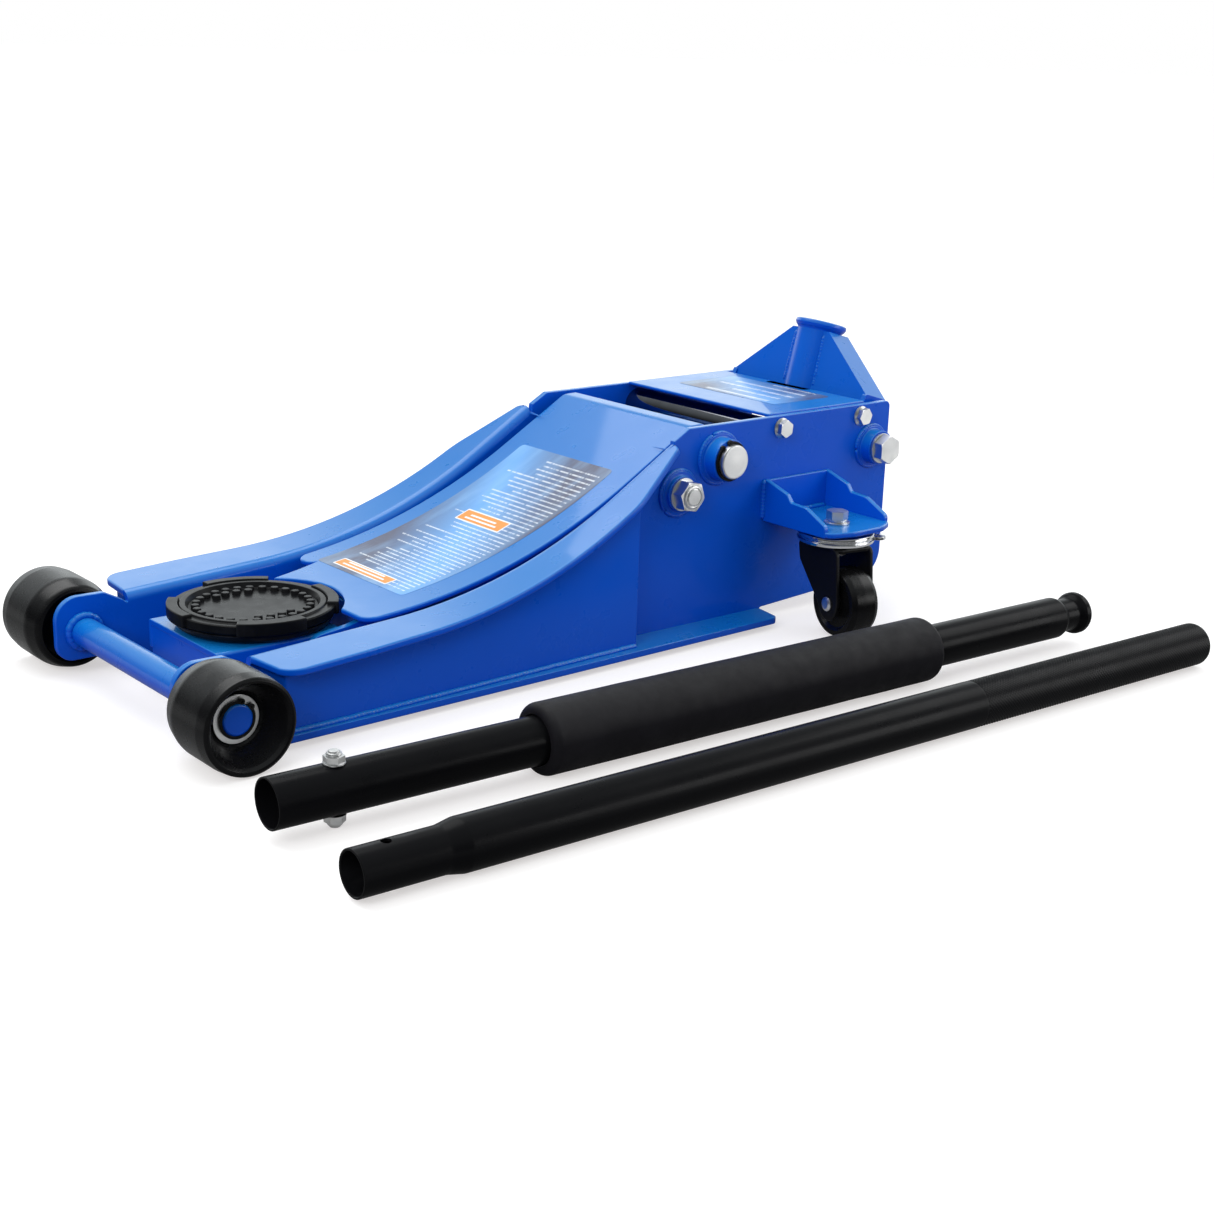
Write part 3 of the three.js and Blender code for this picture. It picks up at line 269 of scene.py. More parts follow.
def plate(points, low, high, plane="xz", edge=0.8):
    """A flat plate with this outline between two depths, its edges eased."""
    spot = PLANES[plane]
    clean = []
    for p in points:
        if not clean or (Vector(p) - Vector(clean[-1])).length > 1e-3:
            clean.append(tuple(p))
    if (Vector(clean[0]) - Vector(clean[-1])).length < 1e-3:
        clean.pop()
    bm = bmesh.new()
    wrap(bm, [[bm.verts.new(spot(u, v, w)) for u, v in clean] for w in (low, high)])
    return soften(bm, edge) if edge else bm


def lathe(profile, centre=(0, 0, 0), axis="y", segments=72, closed=False):
    """A turned solid from (radius, height, corner radius) corners; the run ends on the axis or closes."""
    run = rounded(profile, closed=closed)
    bm = bmesh.new()
    frames = {
        "x": lambda r, h, c, s: (centre[0] + h, centre[1] + r * c, centre[2] + r * s),
        "y": lambda r, h, c, s: (centre[0] + r * s, centre[1] + h, centre[2] + r * c),
        "z": lambda r, h, c, s: (centre[0] + r * c, centre[1] + r * s, centre[2] + h),
    }
    spot = frames[axis]
    angles = [2 * math.pi * i / segments for i in range(segments)]
    rings = []
    for r, h in run:
        if r < 1e-6:
            rings.append([bm.verts.new(spot(0, h, 1, 0))])
        else:
            rings.append([bm.verts.new(spot(r, h, math.cos(a), math.sin(a))) for a in angles])
    pairs = list(zip(rings, rings[1:])) + ([(rings[-1], rings[0])] if closed else [])
    for a, b in pairs:
        for i in range(segments):
            j = (i + 1) % segments
            corners = [a[i % len(a)], a[j % len(a)], b[j % len(b)], b[i % len(b)]]
            loop = []
            for v in corners:
                if v not in loop:
                    loop.append(v)
            if len(loop) > 2:
                bm.faces.new(loop)
    bmesh.ops.recalc_face_normals(bm, faces=bm.faces)
    return bm


def split_at(bm, x):
    """Adds edges where a solid crosses the plane at this x."""
    everything = list(bm.verts) + list(bm.edges) + list(bm.faces)
    bmesh.ops.bisect_plane(bm, geom=everything, dist=1e-4, plane_co=(x, 0, 0), plane_no=(1, 0, 0))


def sheet(run, plan, thickness, lift=0.0, edge=1.0):
    """Sheet metal bent to follow run (x, z), cut to an XY outline, with its thickness below the run."""
    bm = bmesh.new()
    bm.faces.new([bm.verts.new((p[0], p[1], 0)) for p in plan])
    xs = [p[0] for p in plan]
    for x, _ in run:
        if min(xs) + 1e-3 < x < max(xs) - 1e-3:
            split_at(bm, x)
    shifted = {}
    for v in bm.verts:
        normal = upright(run, v.co.x)
        v.co.z = height_on(run, v.co.x)
        top = v.co + normal * lift
        shifted[v] = (top, top - normal * thickness)
    top_faces = list(bm.faces)
    rim = [e for e in bm.edges if len(e.link_faces) == 1]
    twin = {v: bm.verts.new(shifted[v][1]) for v in shifted}
    for v in shifted:
        v.co = shifted[v][0]
    for f in top_faces:
        bm.faces.new([twin[v] for v in reversed(f.verts)])
    for e in rim:
        a, b = e.verts
        bm.faces.new((a, b, twin[b], twin[a]))
    return soften(bm, edge) if edge else bm


def sweep(path, radius, sides=12):
    """A round bar along path; radius is a number or a function of the share of the length."""
    size = radius if callable(radius) else (lambda t: radius)
    bm = bmesh.new()
    rings = []
    count = len(path)
    side = None
    for k, p in enumerate(path):
        along = (Vector(path[min(k + 1, count - 1)]) - Vector(path[max(k - 1, 0)])).normalized()
        if side is None:
            side = along.orthogonal().normalized()
        side = (side - along * side.dot(along)).normalized()
        up = along.cross(side)
        section = arc(0, 0, size(k / (count - 1)), 0, 2 * math.pi, sides)[:-1]
        rings.append([bm.verts.new(Vector(p) + side * u + up * v) for u, v in section])
    return wrap(bm, rings)


def bead(points, radius=3.2, ripple=3.0):
    """A weld bead along a run of points, with overlapping ripples and tapering ends."""
    fine = []
    step = ripple / 6
    for a, b in zip(points, points[1:]):
        a, b = Vector(a), Vector(b)
        parts = max(1, int((b - a).length / step))
        fine += [a.lerp(b, i / parts) for i in range(parts)]
    fine.append(Vector(points[-1]))
    total = len(fine) * step
    seed = random.random() * 100
    wander = [p + noise.noise_vector(p * 0.16 + Vector((seed, 0, 0))) * (radius * 0.14) for p in fine]

    def size(t):
        wave = (t * total / ripple + 0.35 * noise.noise(Vector((t * total * 0.2, seed, 0)))) % 1.0
        ends = min(1.0, math.sqrt(max(0.0, min(t, 1 - t)) * total / (radius * 1.4)) + 0.08)
        return radius * ends * (0.86 + 0.16 * math.sqrt(wave))

    return sweep(wander, size, sides=12)


def ring_bead(x, z, r, y, radius=2.0, ripple=2.6):
    around = arc(x, z, r, random.random() * 6, 2 * math.pi, 48)
    return bead([(u, y, v) for u, v in around[:-1] + around[:1]], radius, ripple)


def hex_head(across, height, chamfer=0.93, bore=0.0):
    """A hexagon head standing on z = 0 with its top corners turned off by a cone."""
    segments = 72
    angles = [2 * math.pi * i / segments for i in range(segments)]
    flats = [across / 2 / math.cos((t % (math.pi / 3)) - math.pi / 6) for t in angles]
    limit = across / math.sqrt(3) * chamfer
    slope = math.tan(math.radians(28))
    rows = [
        [(r, 0.0) for r in flats],
        [(r, height - max(0.0, r - limit) * slope - 0.01) for r in flats],
        [(min(r, limit) - 0.35, height) for r in flats],
    ]
    if bore:
        rows += [[(r, z)] * segments for r, z in ((bore + 0.8, height), (bore, height - 0.8), (bore, 0.4))]
    bm = bmesh.new()
    rings = [[bm.verts.new((r * math.cos(t), r * math.sin(t), z)) for (r, z), t in zip(row, angles)]
             for row in rows]
    return wrap(bm, rings, loop=bool(bore))


def cut(bm, tool):
    """Takes one closed solid away from another."""
    scene = bpy.context.scene
    objects = []
    for solid in (bm, tool):
        mesh = bpy.data.meshes.new("cut")
        solid.to_mesh(mesh)
        solid.free()
        objects.append(bpy.data.objects.new("cut", mesh))
        scene.collection.objects.link(objects[-1])
    modifier = objects[0].modifiers.new("cut", "BOOLEAN")
    modifier.operation = "DIFFERENCE"
    modifier.solver = "EXACT"
    modifier.object = objects[1]
    result = bmesh.new()
    result.from_object(objects[0], bpy.context.evaluated_depsgraph_get())
    for obj in objects:
        mesh = obj.data
        bpy.data.objects.remove(obj)
        bpy.data.meshes.remove(mesh)
    return result


def join(*solids):
    whole = solids[0]
    for other in solids[1:]:
        spare = bpy.data.meshes.new("spare")
        other.to_mesh(spare)
        other.free()
        whole.from_mesh(spare)
        bpy.data.meshes.remove(spare)
    return whole


def turned(bm, matrix):
    bmesh.ops.transform(bm, matrix=matrix, verts=bm.verts)
    return bm


def mirrored(bm, s):
    """Drawn on the left, at +Y; s = -1 gives the right-hand one."""
    if s < 0:
        for v in bm.verts:
            v.co.y = -v.co.y
        bmesh.ops.reverse_faces(bm, faces=bm.faces)
    return bm


def along_y(bm, x, y, z, spin=0.0):
    """Takes a solid standing on z = 0 and lays it along +Y from (x, y, z)."""
    turn = Matrix.Rotation(math.radians(-90), 4, "X") @ Matrix.Rotation(spin, 4, "Z")
    return turned(bm, Matrix.Translation((x, y, z)) @ turn)


def pin(at, radius, half, ease=0.0, segments=72):
    """A round bar along Y through an XZ point, with eased ends."""
    return lathe(even([(radius, half, ease), (0, half)]), (at[0], 0, at[1]), segments=segments)


# ---- materials ------------------------------------------------------------------------------
class Nodes:
    """Short calls for wiring the shader nodes of a material or the world."""

    def __init__(self, owner):
        owner.use_nodes = True
        self.owner = owner
        self.tree = owner.node_tree
        self.coords = self.add("ShaderNodeTexCoord").outputs["Object"]

    def add(self, kind, inputs=(), **settings):
        node = self.tree.nodes.new(kind)
        for key, value in settings.items():
            setattr(node, key, value)
        self.fill(node, inputs)
        return node

    def fill(self, node, inputs):
        """Wires each input from a socket, or sets it; a colour may leave out its alpha."""
        for key, value in dict(inputs).items():
            target = node.inputs[key]
            if isinstance(value, bpy.types.NodeSocket):
                self.tree.links.new(value, target)
            elif target.type == "RGBA" and len(value) == 3:
                target.default_value = (*value, 1)
            else:
                target.default_value = value

    def noise(self, scale, detail=3.0, rough=0.5, vector=None):
        inputs = {"Vector": vector or self.coords, "Scale": scale, "Detail": detail, "Roughness": rough}
        return self.add("ShaderNodeTexNoise", inputs).outputs["Fac"]

    def math(self, operation, a, b=0.0, c=None):
        values = [a, b] if c is None else [a, b, c]
        return self.add("ShaderNodeMath", enumerate(values), operation=operation).outputs[0]

    def spread(self, value, low, high, out_low=0.0, out_high=1.0, curve="LINEAR"):
        inputs = {"Value": value, "From Min": low, "From Max": high, "To Min": out_low, "To Max": out_high}
        return self.add("ShaderNodeMapRange", inputs, interpolation_type=curve).outputs["Result"]

    def between(self, value, low, high):
        """1 where a value lies between two others."""
        above = self.math("GREATER_THAN", value, low)
        return self.math("MULTIPLY", above, self.math("LESS_THAN", value, high))

    def scaled(self, amounts):
        return self.add("ShaderNodeMapping", {"Vector": self.coords, "Scale": amounts}).outputs[0]

    def mix(self, share, a, b):
        return self.add("ShaderNodeMix", {0: share, 6: a, 7: b}, data_type="RGBA").outputs[2]

    def bump(self, height, distance, strength):
        inputs = {"Distance": distance, "Strength": strength, "Height": height}
        return self.add("ShaderNodeBump", inputs).outputs["Normal"]

    def edges(self):
        """1 on sharp outer edges, 0 elsewhere."""
        return self.spread(self.add("ShaderNodeNewGeometry").outputs["Pointiness"], 0.53, 0.60)

    def upward(self, low=-0.1, high=0.95):
        """0 on faces that look down or sideways, 1 on faces that look up."""
        return self.spread(self.split(self.add("ShaderNodeNewGeometry").outputs["Normal"])[2], low, high)

    def split(self, vector=None):
        return self.add("ShaderNodeSeparateXYZ", {0: vector or self.coords}).outputs[:3]

    def done(self, color, roughness, metallic=0.0, coat=0.0, coat_roughness=0.05, normal=None,
             specular=0.5, **more):
        """Fills the material's surface shader."""
        inputs = {
            "Base Color": color, "Roughness": roughness, "Metallic": metallic, "Coat Weight": coat,
            "Coat Roughness": coat_roughness, "Specular IOR Level": specular, **more,
        }
        if normal is not None:
            inputs |= {"Normal": normal, "Coat Normal": normal}
        self.fill(self.tree.nodes["Principled BSDF"], inputs)
        return self.owner


def material_nodes(name):
    return Nodes(bpy.data.materials.new(name))


def paint(name, deep, bright, film_and_lit_top, worn, roughness, coat, peel=0.00022, wear=0.35, specular=0.5):
    """Sprayed enamel: orange peel, slight clouding, painted light on upward faces (a paler tint, more coat
    and specular) and paler paint on the edges.
    """
    n = material_nodes(name)
    cloud = n.spread(n.noise(5.0, 4.0), 0.35, 0.65)
    # Upward faces take the third colour: a paler tint that is painted light from above.
    body = n.mix(n.upward(), n.mix(cloud, deep, bright), film_and_lit_top)
    scuff = n.math("MULTIPLY", n.edges(), n.spread(n.noise(60.0, 5.0), 0.45, 0.7))
    color = n.mix(n.math("MULTIPLY", scuff, wear), body, worn)
    rough = n.spread(n.noise(35.0, 4.0), 0.3, 0.7, roughness * 0.85, roughness * 1.2)
    ripple = n.math("ADD", n.noise(420.0, 2.0), n.math("MULTIPLY", n.noise(120.0, 1.0), 0.5))
    # Coat and specular are weaker on faces that look sideways: painted shade on the sides, painted highlight
    # on the tops.
    sheen = n.spread(n.upward(0.0, 0.5), 0.0, 1.0, coat * 0.16, coat)
    shine = n.spread(n.upward(0.0, 0.5), 0.0, 1.0, specular * 0.28, specular)
    return n.done(color, rough, 0.0, sheen, 0.05, n.bump(ripple, peel, 0.3), shine)


def plated(name, tint, shade, roughness, streak=(900.0, 40.0, 40.0), bump=0.00004):
    """Bare or plated steel with fine tool marks that stretch across the streak axes."""
    n = material_nodes(name)
    marks = n.noise(1.0, 3.0, vector=n.scaled(streak))
    color = n.mix(n.spread(n.noise(45.0, 4.0), 0.3, 0.7), tint, shade)
    rough = n.math("ADD", n.spread(marks, 0.3, 0.7, -0.05, 0.06), roughness)
    return n.done(color, rough, 1.0, normal=n.bump(marks, bump, 0.6))


def moulded(name, color, dusty, roughness, grain_scale, grain, scuffs=0.25, specular=0.35):
    """Moulded rubber or plastic: fine grain, faint dust and paler scuffed edges."""
    n = material_nodes(name)
    dust = n.spread(n.noise(28.0, 6.0, 0.65), 0.45, 0.75)
    body = n.mix(n.math("MULTIPLY", dust, 0.35), color, dusty)
    body = n.mix(n.math("MULTIPLY", n.edges(), scuffs), body, dusty)
    rough = n.spread(n.noise(70.0, 4.0), 0.3, 0.7, roughness * 0.85, min(1.0, roughness * 1.15))
    height = n.math("ADD", n.noise(grain_scale, 4.0, 0.6),
                    n.math("MULTIPLY", n.noise(grain_scale / 7, 3.0), 0.8))
    # Specular drops on faces that look sideways: painted shade on the sides, painted highlight on top.
    shine = n.spread(n.upward(0.1, 0.9), 0.0, 1.0, specular * 0.13, specular)
    return n.done(body, rough, 0.0, 0.0, 0.2, n.bump(height, grain, 0.7), shine)


# The third colour is painted light: the paler, sky-lit blue that upward faces are given.
BLUE = paint("blue_enamel", (0.0004, 0.066, 0.56), (0.0005, 0.074, 0.60), (0.004, 0.176, 0.55),
             (0.06, 0.27, 0.75), 0.30, 0.55, peel=0.00002, wear=0.0)
BLACK = paint("black_powder_coat", (0.004, 0.004, 0.0045), (0.006, 0.006, 0.007), (0.006, 0.006, 0.007),
              (0.10, 0.10, 0.11), 0.34, 0.15, peel=0.00012, wear=0.3, specular=0.30)
GLOSS_BLACK = paint("black_tube_enamel", (0.0026, 0.0026, 0.0032), (0.0042, 0.0042, 0.005),
                    (0.0042, 0.0042, 0.005), (0.09, 0.09, 0.10), 0.30, 0.02, peel=0.00008, wear=0.3,
                    specular=0.10)
ZINC = plated("bright_zinc", (0.80, 0.80, 0.79), (0.62, 0.63, 0.64), 0.34, streak=(120.0, 120.0, 120.0))
POLISHED = plated("ground_steel", (0.78, 0.79, 0.81), (0.66, 0.67, 0.69), 0.12, streak=(900.0, 30.0, 900.0))
# Its tint is far darker than chrome: painted shade, so the stay tube looks dark in its recess under the deck.
CHROME = plated("chromed_tube", (0.26, 0.27, 0.30), (0.20, 0.21, 0.23), 0.07, streak=(60.0, 900.0, 60.0),
                bump=0.00001)
CAST = plated("cast_housing", (0.16, 0.165, 0.17), (0.07, 0.07, 0.075), 0.50, streak=(150.0, 150.0, 150.0),
              bump=0.0004)
NYLON = moulded("black_nylon", (0.0035, 0.0035, 0.004), (0.012, 0.0115, 0.013), 0.27, 900.0, 0.00008,
                specular=0.55)
RUBBER = moulded("saddle_rubber", (0.005, 0.0052, 0.006), (0.03, 0.03, 0.032), 0.30, 700.0, 0.00008, 0.4,
                 specular=0.16)
FOAM = moulded("handle_foam", (0.0085, 0.0080, 0.0100), (0.015, 0.0145, 0.018), 0.60, 1400.0, 0.00012, 0.1)


def sticker(name, x0, x1, y0, y1, pitch, margin):
    """Printed sticker: pale to slate in a diagonal wash, with rows of plain broken bars for print."""
    n = material_nodes(name)
    x, y, _ = n.split()
    low, high = place(x0, y0, 0), place(x1, y1, 0)
    u = n.spread(x, low.x, high.x)
    v = n.spread(y, low.y, high.y)
    apart = n.math("ABSOLUTE", n.math("SUBTRACT", u, v))
    wash = n.mix(n.spread(apart, 0.04, 0.62), (0.13, 0.37, 0.78), (0.085, 0.095, 0.16))
    streaks = n.noise(1.0, 4.0, vector=n.scaled((14.0, 60.0, 14.0)))
    wash = n.mix(n.spread(streaks, 0.45, 0.7, 0.0, 0.35), wash, (0.30, 0.55, 0.88))
    row = n.math("DIVIDE", n.math("SUBTRACT", x, low.x), pitch * MM)
    index = n.math("FLOOR", row)
    part = n.math("FRACT", row)
    chance = n.add("ShaderNodeTexWhiteNoise", {"W": index}, noise_dimensions="1D").outputs["Value"]
    inside = n.between(v, margin, n.math("MULTIPLY_ADD", chance, 0.35, 0.55))
    across, down = n.math("MULTIPLY", y, 760.0), n.math("MULTIPLY", index, 7.31)
    spot = n.add("ShaderNodeCombineXYZ", {0: across, 1: down}).outputs[0]
    word = n.add("ShaderNodeTexNoise", {"Vector": spot, "Scale": 1.0}, noise_dimensions="2D")
    marks = n.math("MULTIPLY", n.math("MULTIPLY", n.between(part, 0.32, 0.64), inside),
                   n.math("GREATER_THAN", word.outputs["Fac"], 0.42))
    ink = n.math("MULTIPLY", n.math("MULTIPLY", marks, n.between(u, 0.03, 0.97)), 0.62)
    color = n.mix(ink, wash, (0.86, 0.90, 0.95))
    film_and_lit_top = n.noise(420.0, 3.0)
    rough = n.spread(film_and_lit_top, 0.3, 0.7, 0.30, 0.40)
    return n.done(color, rough, 0.0, 0.3, 0.12, n.bump(film_and_lit_top, 0.00003, 0.4))


def flat_print(name, color):
    n = material_nodes(name)
    film_and_lit_top = n.noise(300.0, 3.0)
    shade = n.mix(n.spread(film_and_lit_top, 0.3, 0.7, 0.0, 0.25), color, tuple(c * 0.8 for c in color))
    return n.done(shade, n.spread(film_and_lit_top, 0.3, 0.7, 0.36, 0.44), 0.0, 0.2, 0.15, n.bump(film_and_lit_top, 0.00003, 0.4))


ARM_LABEL = (198.0, 416.0, -62.0, 67.0)
DECK_LABEL = (602.0, 676.0, -66.0, 66.0)

LOOKS = {
    "label": (sticker("arm_label_print", *ARM_LABEL, 5.0, 0.05), None),
    "deck_label": (sticker("deck_label_print", *DECK_LABEL, 16.0, 0.12), None),
    "white_print": (flat_print("white_print", (0.85, 0.86, 0.88)), None),
    "orange_print": (flat_print("orange_print", (0.90, 0.30, 0.05)), None),
    "blue": (BLUE, "blue_paint"),
    "black": (BLACK, "black_paint"),
    "tube": (GLOSS_BLACK, "black_paint"),
    "zinc": (ZINC, "zinc"),
    "polished": (POLISHED, "polished_steel"),
    "chrome": (CHROME, "polished_steel"),
    "bright": (POLISHED, "zinc"),
    "cast": (CAST, "cast_iron"),
    "nylon": (NYLON, "wheel_plastic"),
    "rubber": (RUBBER, "rubber_pad"),
    "foam": (FOAM, "foam"),
}


# ---- pieces ---------------------------------------------------------------------------------
def piece(name, bm, body, look, replaces=(), smooth=32):
    """Moves a solid from millimetres into the frame and makes it a piece that rides on a body."""
    for v in bm.verts:
        v.co = place(*v.co)
    bmesh.ops.recalc_face_normals(bm, faces=bm.faces)
    mesh = bpy.data.meshes.new(name)
    bm.to_mesh(mesh)
    bm.free()
    obj = bpy.data.objects.new(name, mesh)
    bpy.context.scene.collection.objects.link(obj)
    material, slot = LOOKS[look]
    mesh.materials.append(material)
    mesh.shade_smooth()
    mesh.set_sharp_from_angle(angle=math.radians(smooth))
    normals = obj.modifiers.new("normals", "WEIGHTED_NORMAL")
    normals.keep_sharp = True
    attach(obj, body)
    if replaces:
        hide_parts(*replaces)
    return obj


def sided(name, bm, side, body, look, node=None, smooth=32):
    """One of a left and right pair, drawn on the left; it replaces that side's CAD node."""
    tag, sign = side
    replaces = [f"{node}_{tag}"] if node else ()
    piece(f"{name}_{tag}", mirrored(bm, sign), body, look, replaces, smooth)


def dress(node, look, edge=0.7):
    """A CAD node that stays: its material, eased edges and smooth shading."""
    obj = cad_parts[node]
    obj.data.materials.clear()
    obj.data.materials.append(LOOKS[look][0])
    obj.data.shade_smooth()
    weld = obj.modifiers.new("weld", "WELD")
    weld.merge_threshold = 1e-6
    if edge:
        bevel = obj.modifiers.new("edges", "BEVEL")
        bevel.width = edge * MM
        bevel.segments = 2
        bevel.limit_method = "ANGLE"
        bevel.angle_limit = math.radians(40)
        bevel.use_clamp_overlap = True
    normals = obj.modifiers.new("normals", "WEIGHTED_NORMAL")
    normals.keep_sharp = True


# ---- chassis --------------------------------------------------------------------------------
flange_top = [tuple(p) for p in rounded(FLANGE_RUN, closed=False, chord=0.05)]


def side_plate():
    under = offset_run(FLANGE_RUN, -FLANGE_ROLL)
    corners = [
        (-23.5, 14.5, 14), (-23.5, 67.5, 20), (19, 66.8, 8), (34, 58.6, 5), *under[:2],
        (448, under[2][1] + 1), (449, 177.5, 1), (466, BOX_TOP, 3), (719, BOX_TOP, 6), (719, 19.5, 26),
        (BASE_REAR_X + 6, LEDGE_Z), (BASE_REAR_X, BASE_Z), (BASE_FRONT_X, BASE_Z), (BASE_FRONT_X - 8, 14.5),
    ]
    return plate(rounded(corners), SIDE_IN, SIDE_OUT, edge=0.9)


def top_flange():
    """The flat of the flange; its inner edge sinks into the roll."""
    front, mid, tip = FLANGE_OUT
    inner = SIDE_OUT + 0.8
    plan = rounded([
        (38, inner), (42, front, 17), (110, front - 1, 60), (385, mid, 60), (444, tip, 6),
        (447.5, inner + 2), (440, inner),
    ])
    return sheet(flange_top, plan, FLANGE_T, lift=0.15, edge=1.6)


def flange_roll():
    """The bend between the side plate and its flange, swept along the curve."""
    r = FLANGE_ROLL
    thin = r - FLANGE_T
    hub = SIDE_IN + r
    bend = [arc(hub, -r, radius, math.pi, -math.pi / 2, 8) for radius in (r, thin)]
    section = [(SIDE_IN + 0.05, -r - 3), *bend[0], *bend[1][::-1], (SIDE_OUT - 0.05, -r - 3)]
    bm = bmesh.new()
    rings = []
    for k in range(100):
        x = ROLL_X[0] + (ROLL_X[1] - ROLL_X[0]) * k / 99
        normal = upright(flange_top, x)
        base = Vector((x, 0, height_on(flange_top, x)))
        rings.append([bm.verts.new(base + normal * n + Vector((0, y, 0))) for y, n in section])
    return wrap(bm, rings)


def base_flange():
    plan = rounded([
        (BASE_FRONT_X, SIDE_OUT - 1), (BASE_FRONT_X, 143, 6), (BASE_REAR_X - 2, 133.5, 7),
        (BASE_REAR_X + 3, SIDE_OUT + 2, 2), (BASE_REAR_X, SIDE_OUT - 1),
    ])
    return plate(plan, BASE_Z, LEDGE_Z, "xy", edge=0.8)


def boss(at, steps):
    """A stepped weld boss on the outside of the side plate."""
    corners = [(0, SIDE_OUT - 1), (steps[0][0], SIDE_OUT - 1)]
    for i, (radius, out) in enumerate(steps):
        corners.append((radius, out, 0.8))
        if i + 1 < len(steps):
            corners.append((steps[i + 1][0], out, 1.2))
    corners.append((0, steps[-1][1]))
    return lathe(corners, (at[0], 0, at[1]))


def skirt_welds():
    """Bead where the skirt stands on the base flange, and round its tall rear end."""
    (x0, x1), (y0, y1) = SKIRT_X, SKIRT_OUT
    low = bead([(x0 + 2, y0 + 0.5, LEDGE_Z + 0.6), (x1, y1 + 0.5, LEDGE_Z + 0.6)], 2.6, 3.4)
    rear = bead([(x1 + 0.5, y1 - 1, LEDGE_Z + 0.6), (x1 + 0.5, SIDE_OUT + 1, LEDGE_Z + 0.6)], 2.6, 3.4)
    top = height_on(flange_top, x1) - FLANGE_T - 3
    post = bead([(x1 + 0.6, SIDE_OUT + 0.8, LEDGE_Z), (x1 + 0.6, SIDE_OUT + 0.8, top)], 2.4, 3.2)
    return join(low, rear, post)


def axle_welds():
    """Rough beads where the axle passes through the two lugs."""
    inner = ring_bead(0, WHEEL_R, AXLE_R + 1.2, SIDE_IN - 1.2, radius=3.4, ripple=3.6)
    outer = ring_bead(0, WHEEL_R, AXLE_R + 4.5, SIDE_OUT + 0.8, radius=2.4, ripple=3.0)
    return join(inner, outer)


def bracket_welds():
    y = SIDE_OUT + 0.8
    runs = []
    x0, x1 = SHELF_X
    for x in (x0 - 0.7, x1 + 0.7):
        runs.append(bead([(x, y, CASTER_FLOOR + 1), (x, y, 131)], 2.6, 3.2))
    z = CASTER_FLOOR + 5.6
    runs.append(bead([(x0 + 6, y + 4.4, z), (x1 - 6, y + 4.4, z)], 2.4, 3.2))
    return join(*runs)


def deck_main():
    """Cover over the power unit: a flat top with two tabs beside the yoke and turned-down sides."""
    front, rear = DECK_X
    half = SIDE_IN - 0.3
    notch = 25.5
    slot = rear - 8.4
    plan = rounded([
        (front + 1, -half), (rear, -half), (rear, -notch, 1), (slot, -notch, 2), (slot, notch, 2),
        (rear, notch, 1), (rear, half), (front + 1, half),
    ])
    top = plate(plan, DECK_TOP - DECK_T, DECK_TOP, "xy", edge=1.1)
    side = oblong(front + 34, DECK_TOP - 20, rear - 0.5, DECK_TOP - 1.5)
    skirts = [plate(side, s * (half - DECK_T), s * (half - 0.2), edge=0.4) for s in (-1, 1)]
    return join(top, *skirts)


def caster_bracket():
    inner = SIDE_OUT + 0.1
    z0 = CASTER_FLOOR
    x0, x1 = SHELF_X
    plan = rounded([
        (x0, inner), (x0, SHELF_OUT - 8, 10), (x0 + 26, SHELF_OUT, 20), (x1 - 20, SHELF_OUT, 20),
        (x1, SHELF_OUT - 10, 12), (x1, inner),
    ])
    floor = plate(plan, z0, z0 + 5, "xy", edge=1.4)
    low = z0 - 0.3
    side = rounded([
        (inner, low), (inner, 132, 2), (132, 123, 5), (137, 116.5, 4), (156, 115.5, 6),
        (180, z0 + 10, 5), (180, low),
    ])
    walls = [plate(side, x, x + 5, "yz", edge=1.0) for x in (x0 - 0.3, x1 - 4.7)]
    back = plate(oblong(x0 + 1, z0 + 1, x1 - 1, 131), inner, inner + 4)
    return join(floor, *walls, back)


def circlip(at, y, bore, wall=2.4, opening=115):
    """An open retaining ring with two drilled ears at the gap."""
    start = math.radians(opening)
    gap = 4.2 / bore
    inner, outer = (arc(*at, r, start + gap, 2 * (math.pi - gap), 60) for r in (bore, bore + wall))
    parts = [plate(outer + inner[::-1], y, y + 2, edge=0.3)]
    for a in (start - gap, start + gap):
        r = bore + wall * 0.62
        parts.append(lathe([(1.0, y + 0.1), (2.6, y + 0.1, 0.3), (2.6, y + 2.3, 0.4), (1.0, y + 2.3)],
                           (at[0] + r * math.cos(a), 0, at[1] + r * math.sin(a)), segments=24, closed=True))
    return join(*parts)


def hex_bolt(at, seat, across, height, washer, spin=0.3, nut=False, shank=0.0):
    x, z = at
    disc = lathe([(0, seat - 0.5), (washer, seat - 0.5), (washer, seat + 2.2, 0.5), (0, seat + 2.2)],
                 (x, 0, z))
    if not nut:
        return join(disc, along_y(hex_head(across, height), x, seat + 2, z, spin))
    head = along_y(hex_head(across, height, bore=shank), x, seat + 2, z, spin)
    end = seat + 2 + height
    collar = lathe([(shank, end - 1), (across * 0.43, end - 1), (across * 0.43, end + 1.2, 1.0),
                    (shank + 0.6, end + 1.8, 0.6), (shank, end + 1.0)], (x, 0, z), closed=True)
    thread = [(0, seat)]
    y = seat
    while y < end + 1.4:
        thread += [(shank, y), (shank - 0.55, y + 0.6)]
        y += 1.2
    thread += [(shank - 1.4, end + 2.2), (0, end + 2.2)]
    return join(disc, head, collar, lathe(thread, (x, 0, z)))


def flange_bolt(at, seat):
    x, z = at
    disc = lathe([(0, seat - 0.4), (9.2, seat - 0.4), (9.2, seat + 0.7, 0.4), (7.4, seat + 2.4, 1.2),
                  (0, seat + 2.4)], (x, 0, z))
    return join(disc, along_y(hex_head(14, 5.2), x, seat + 1.8, z, random.random()))


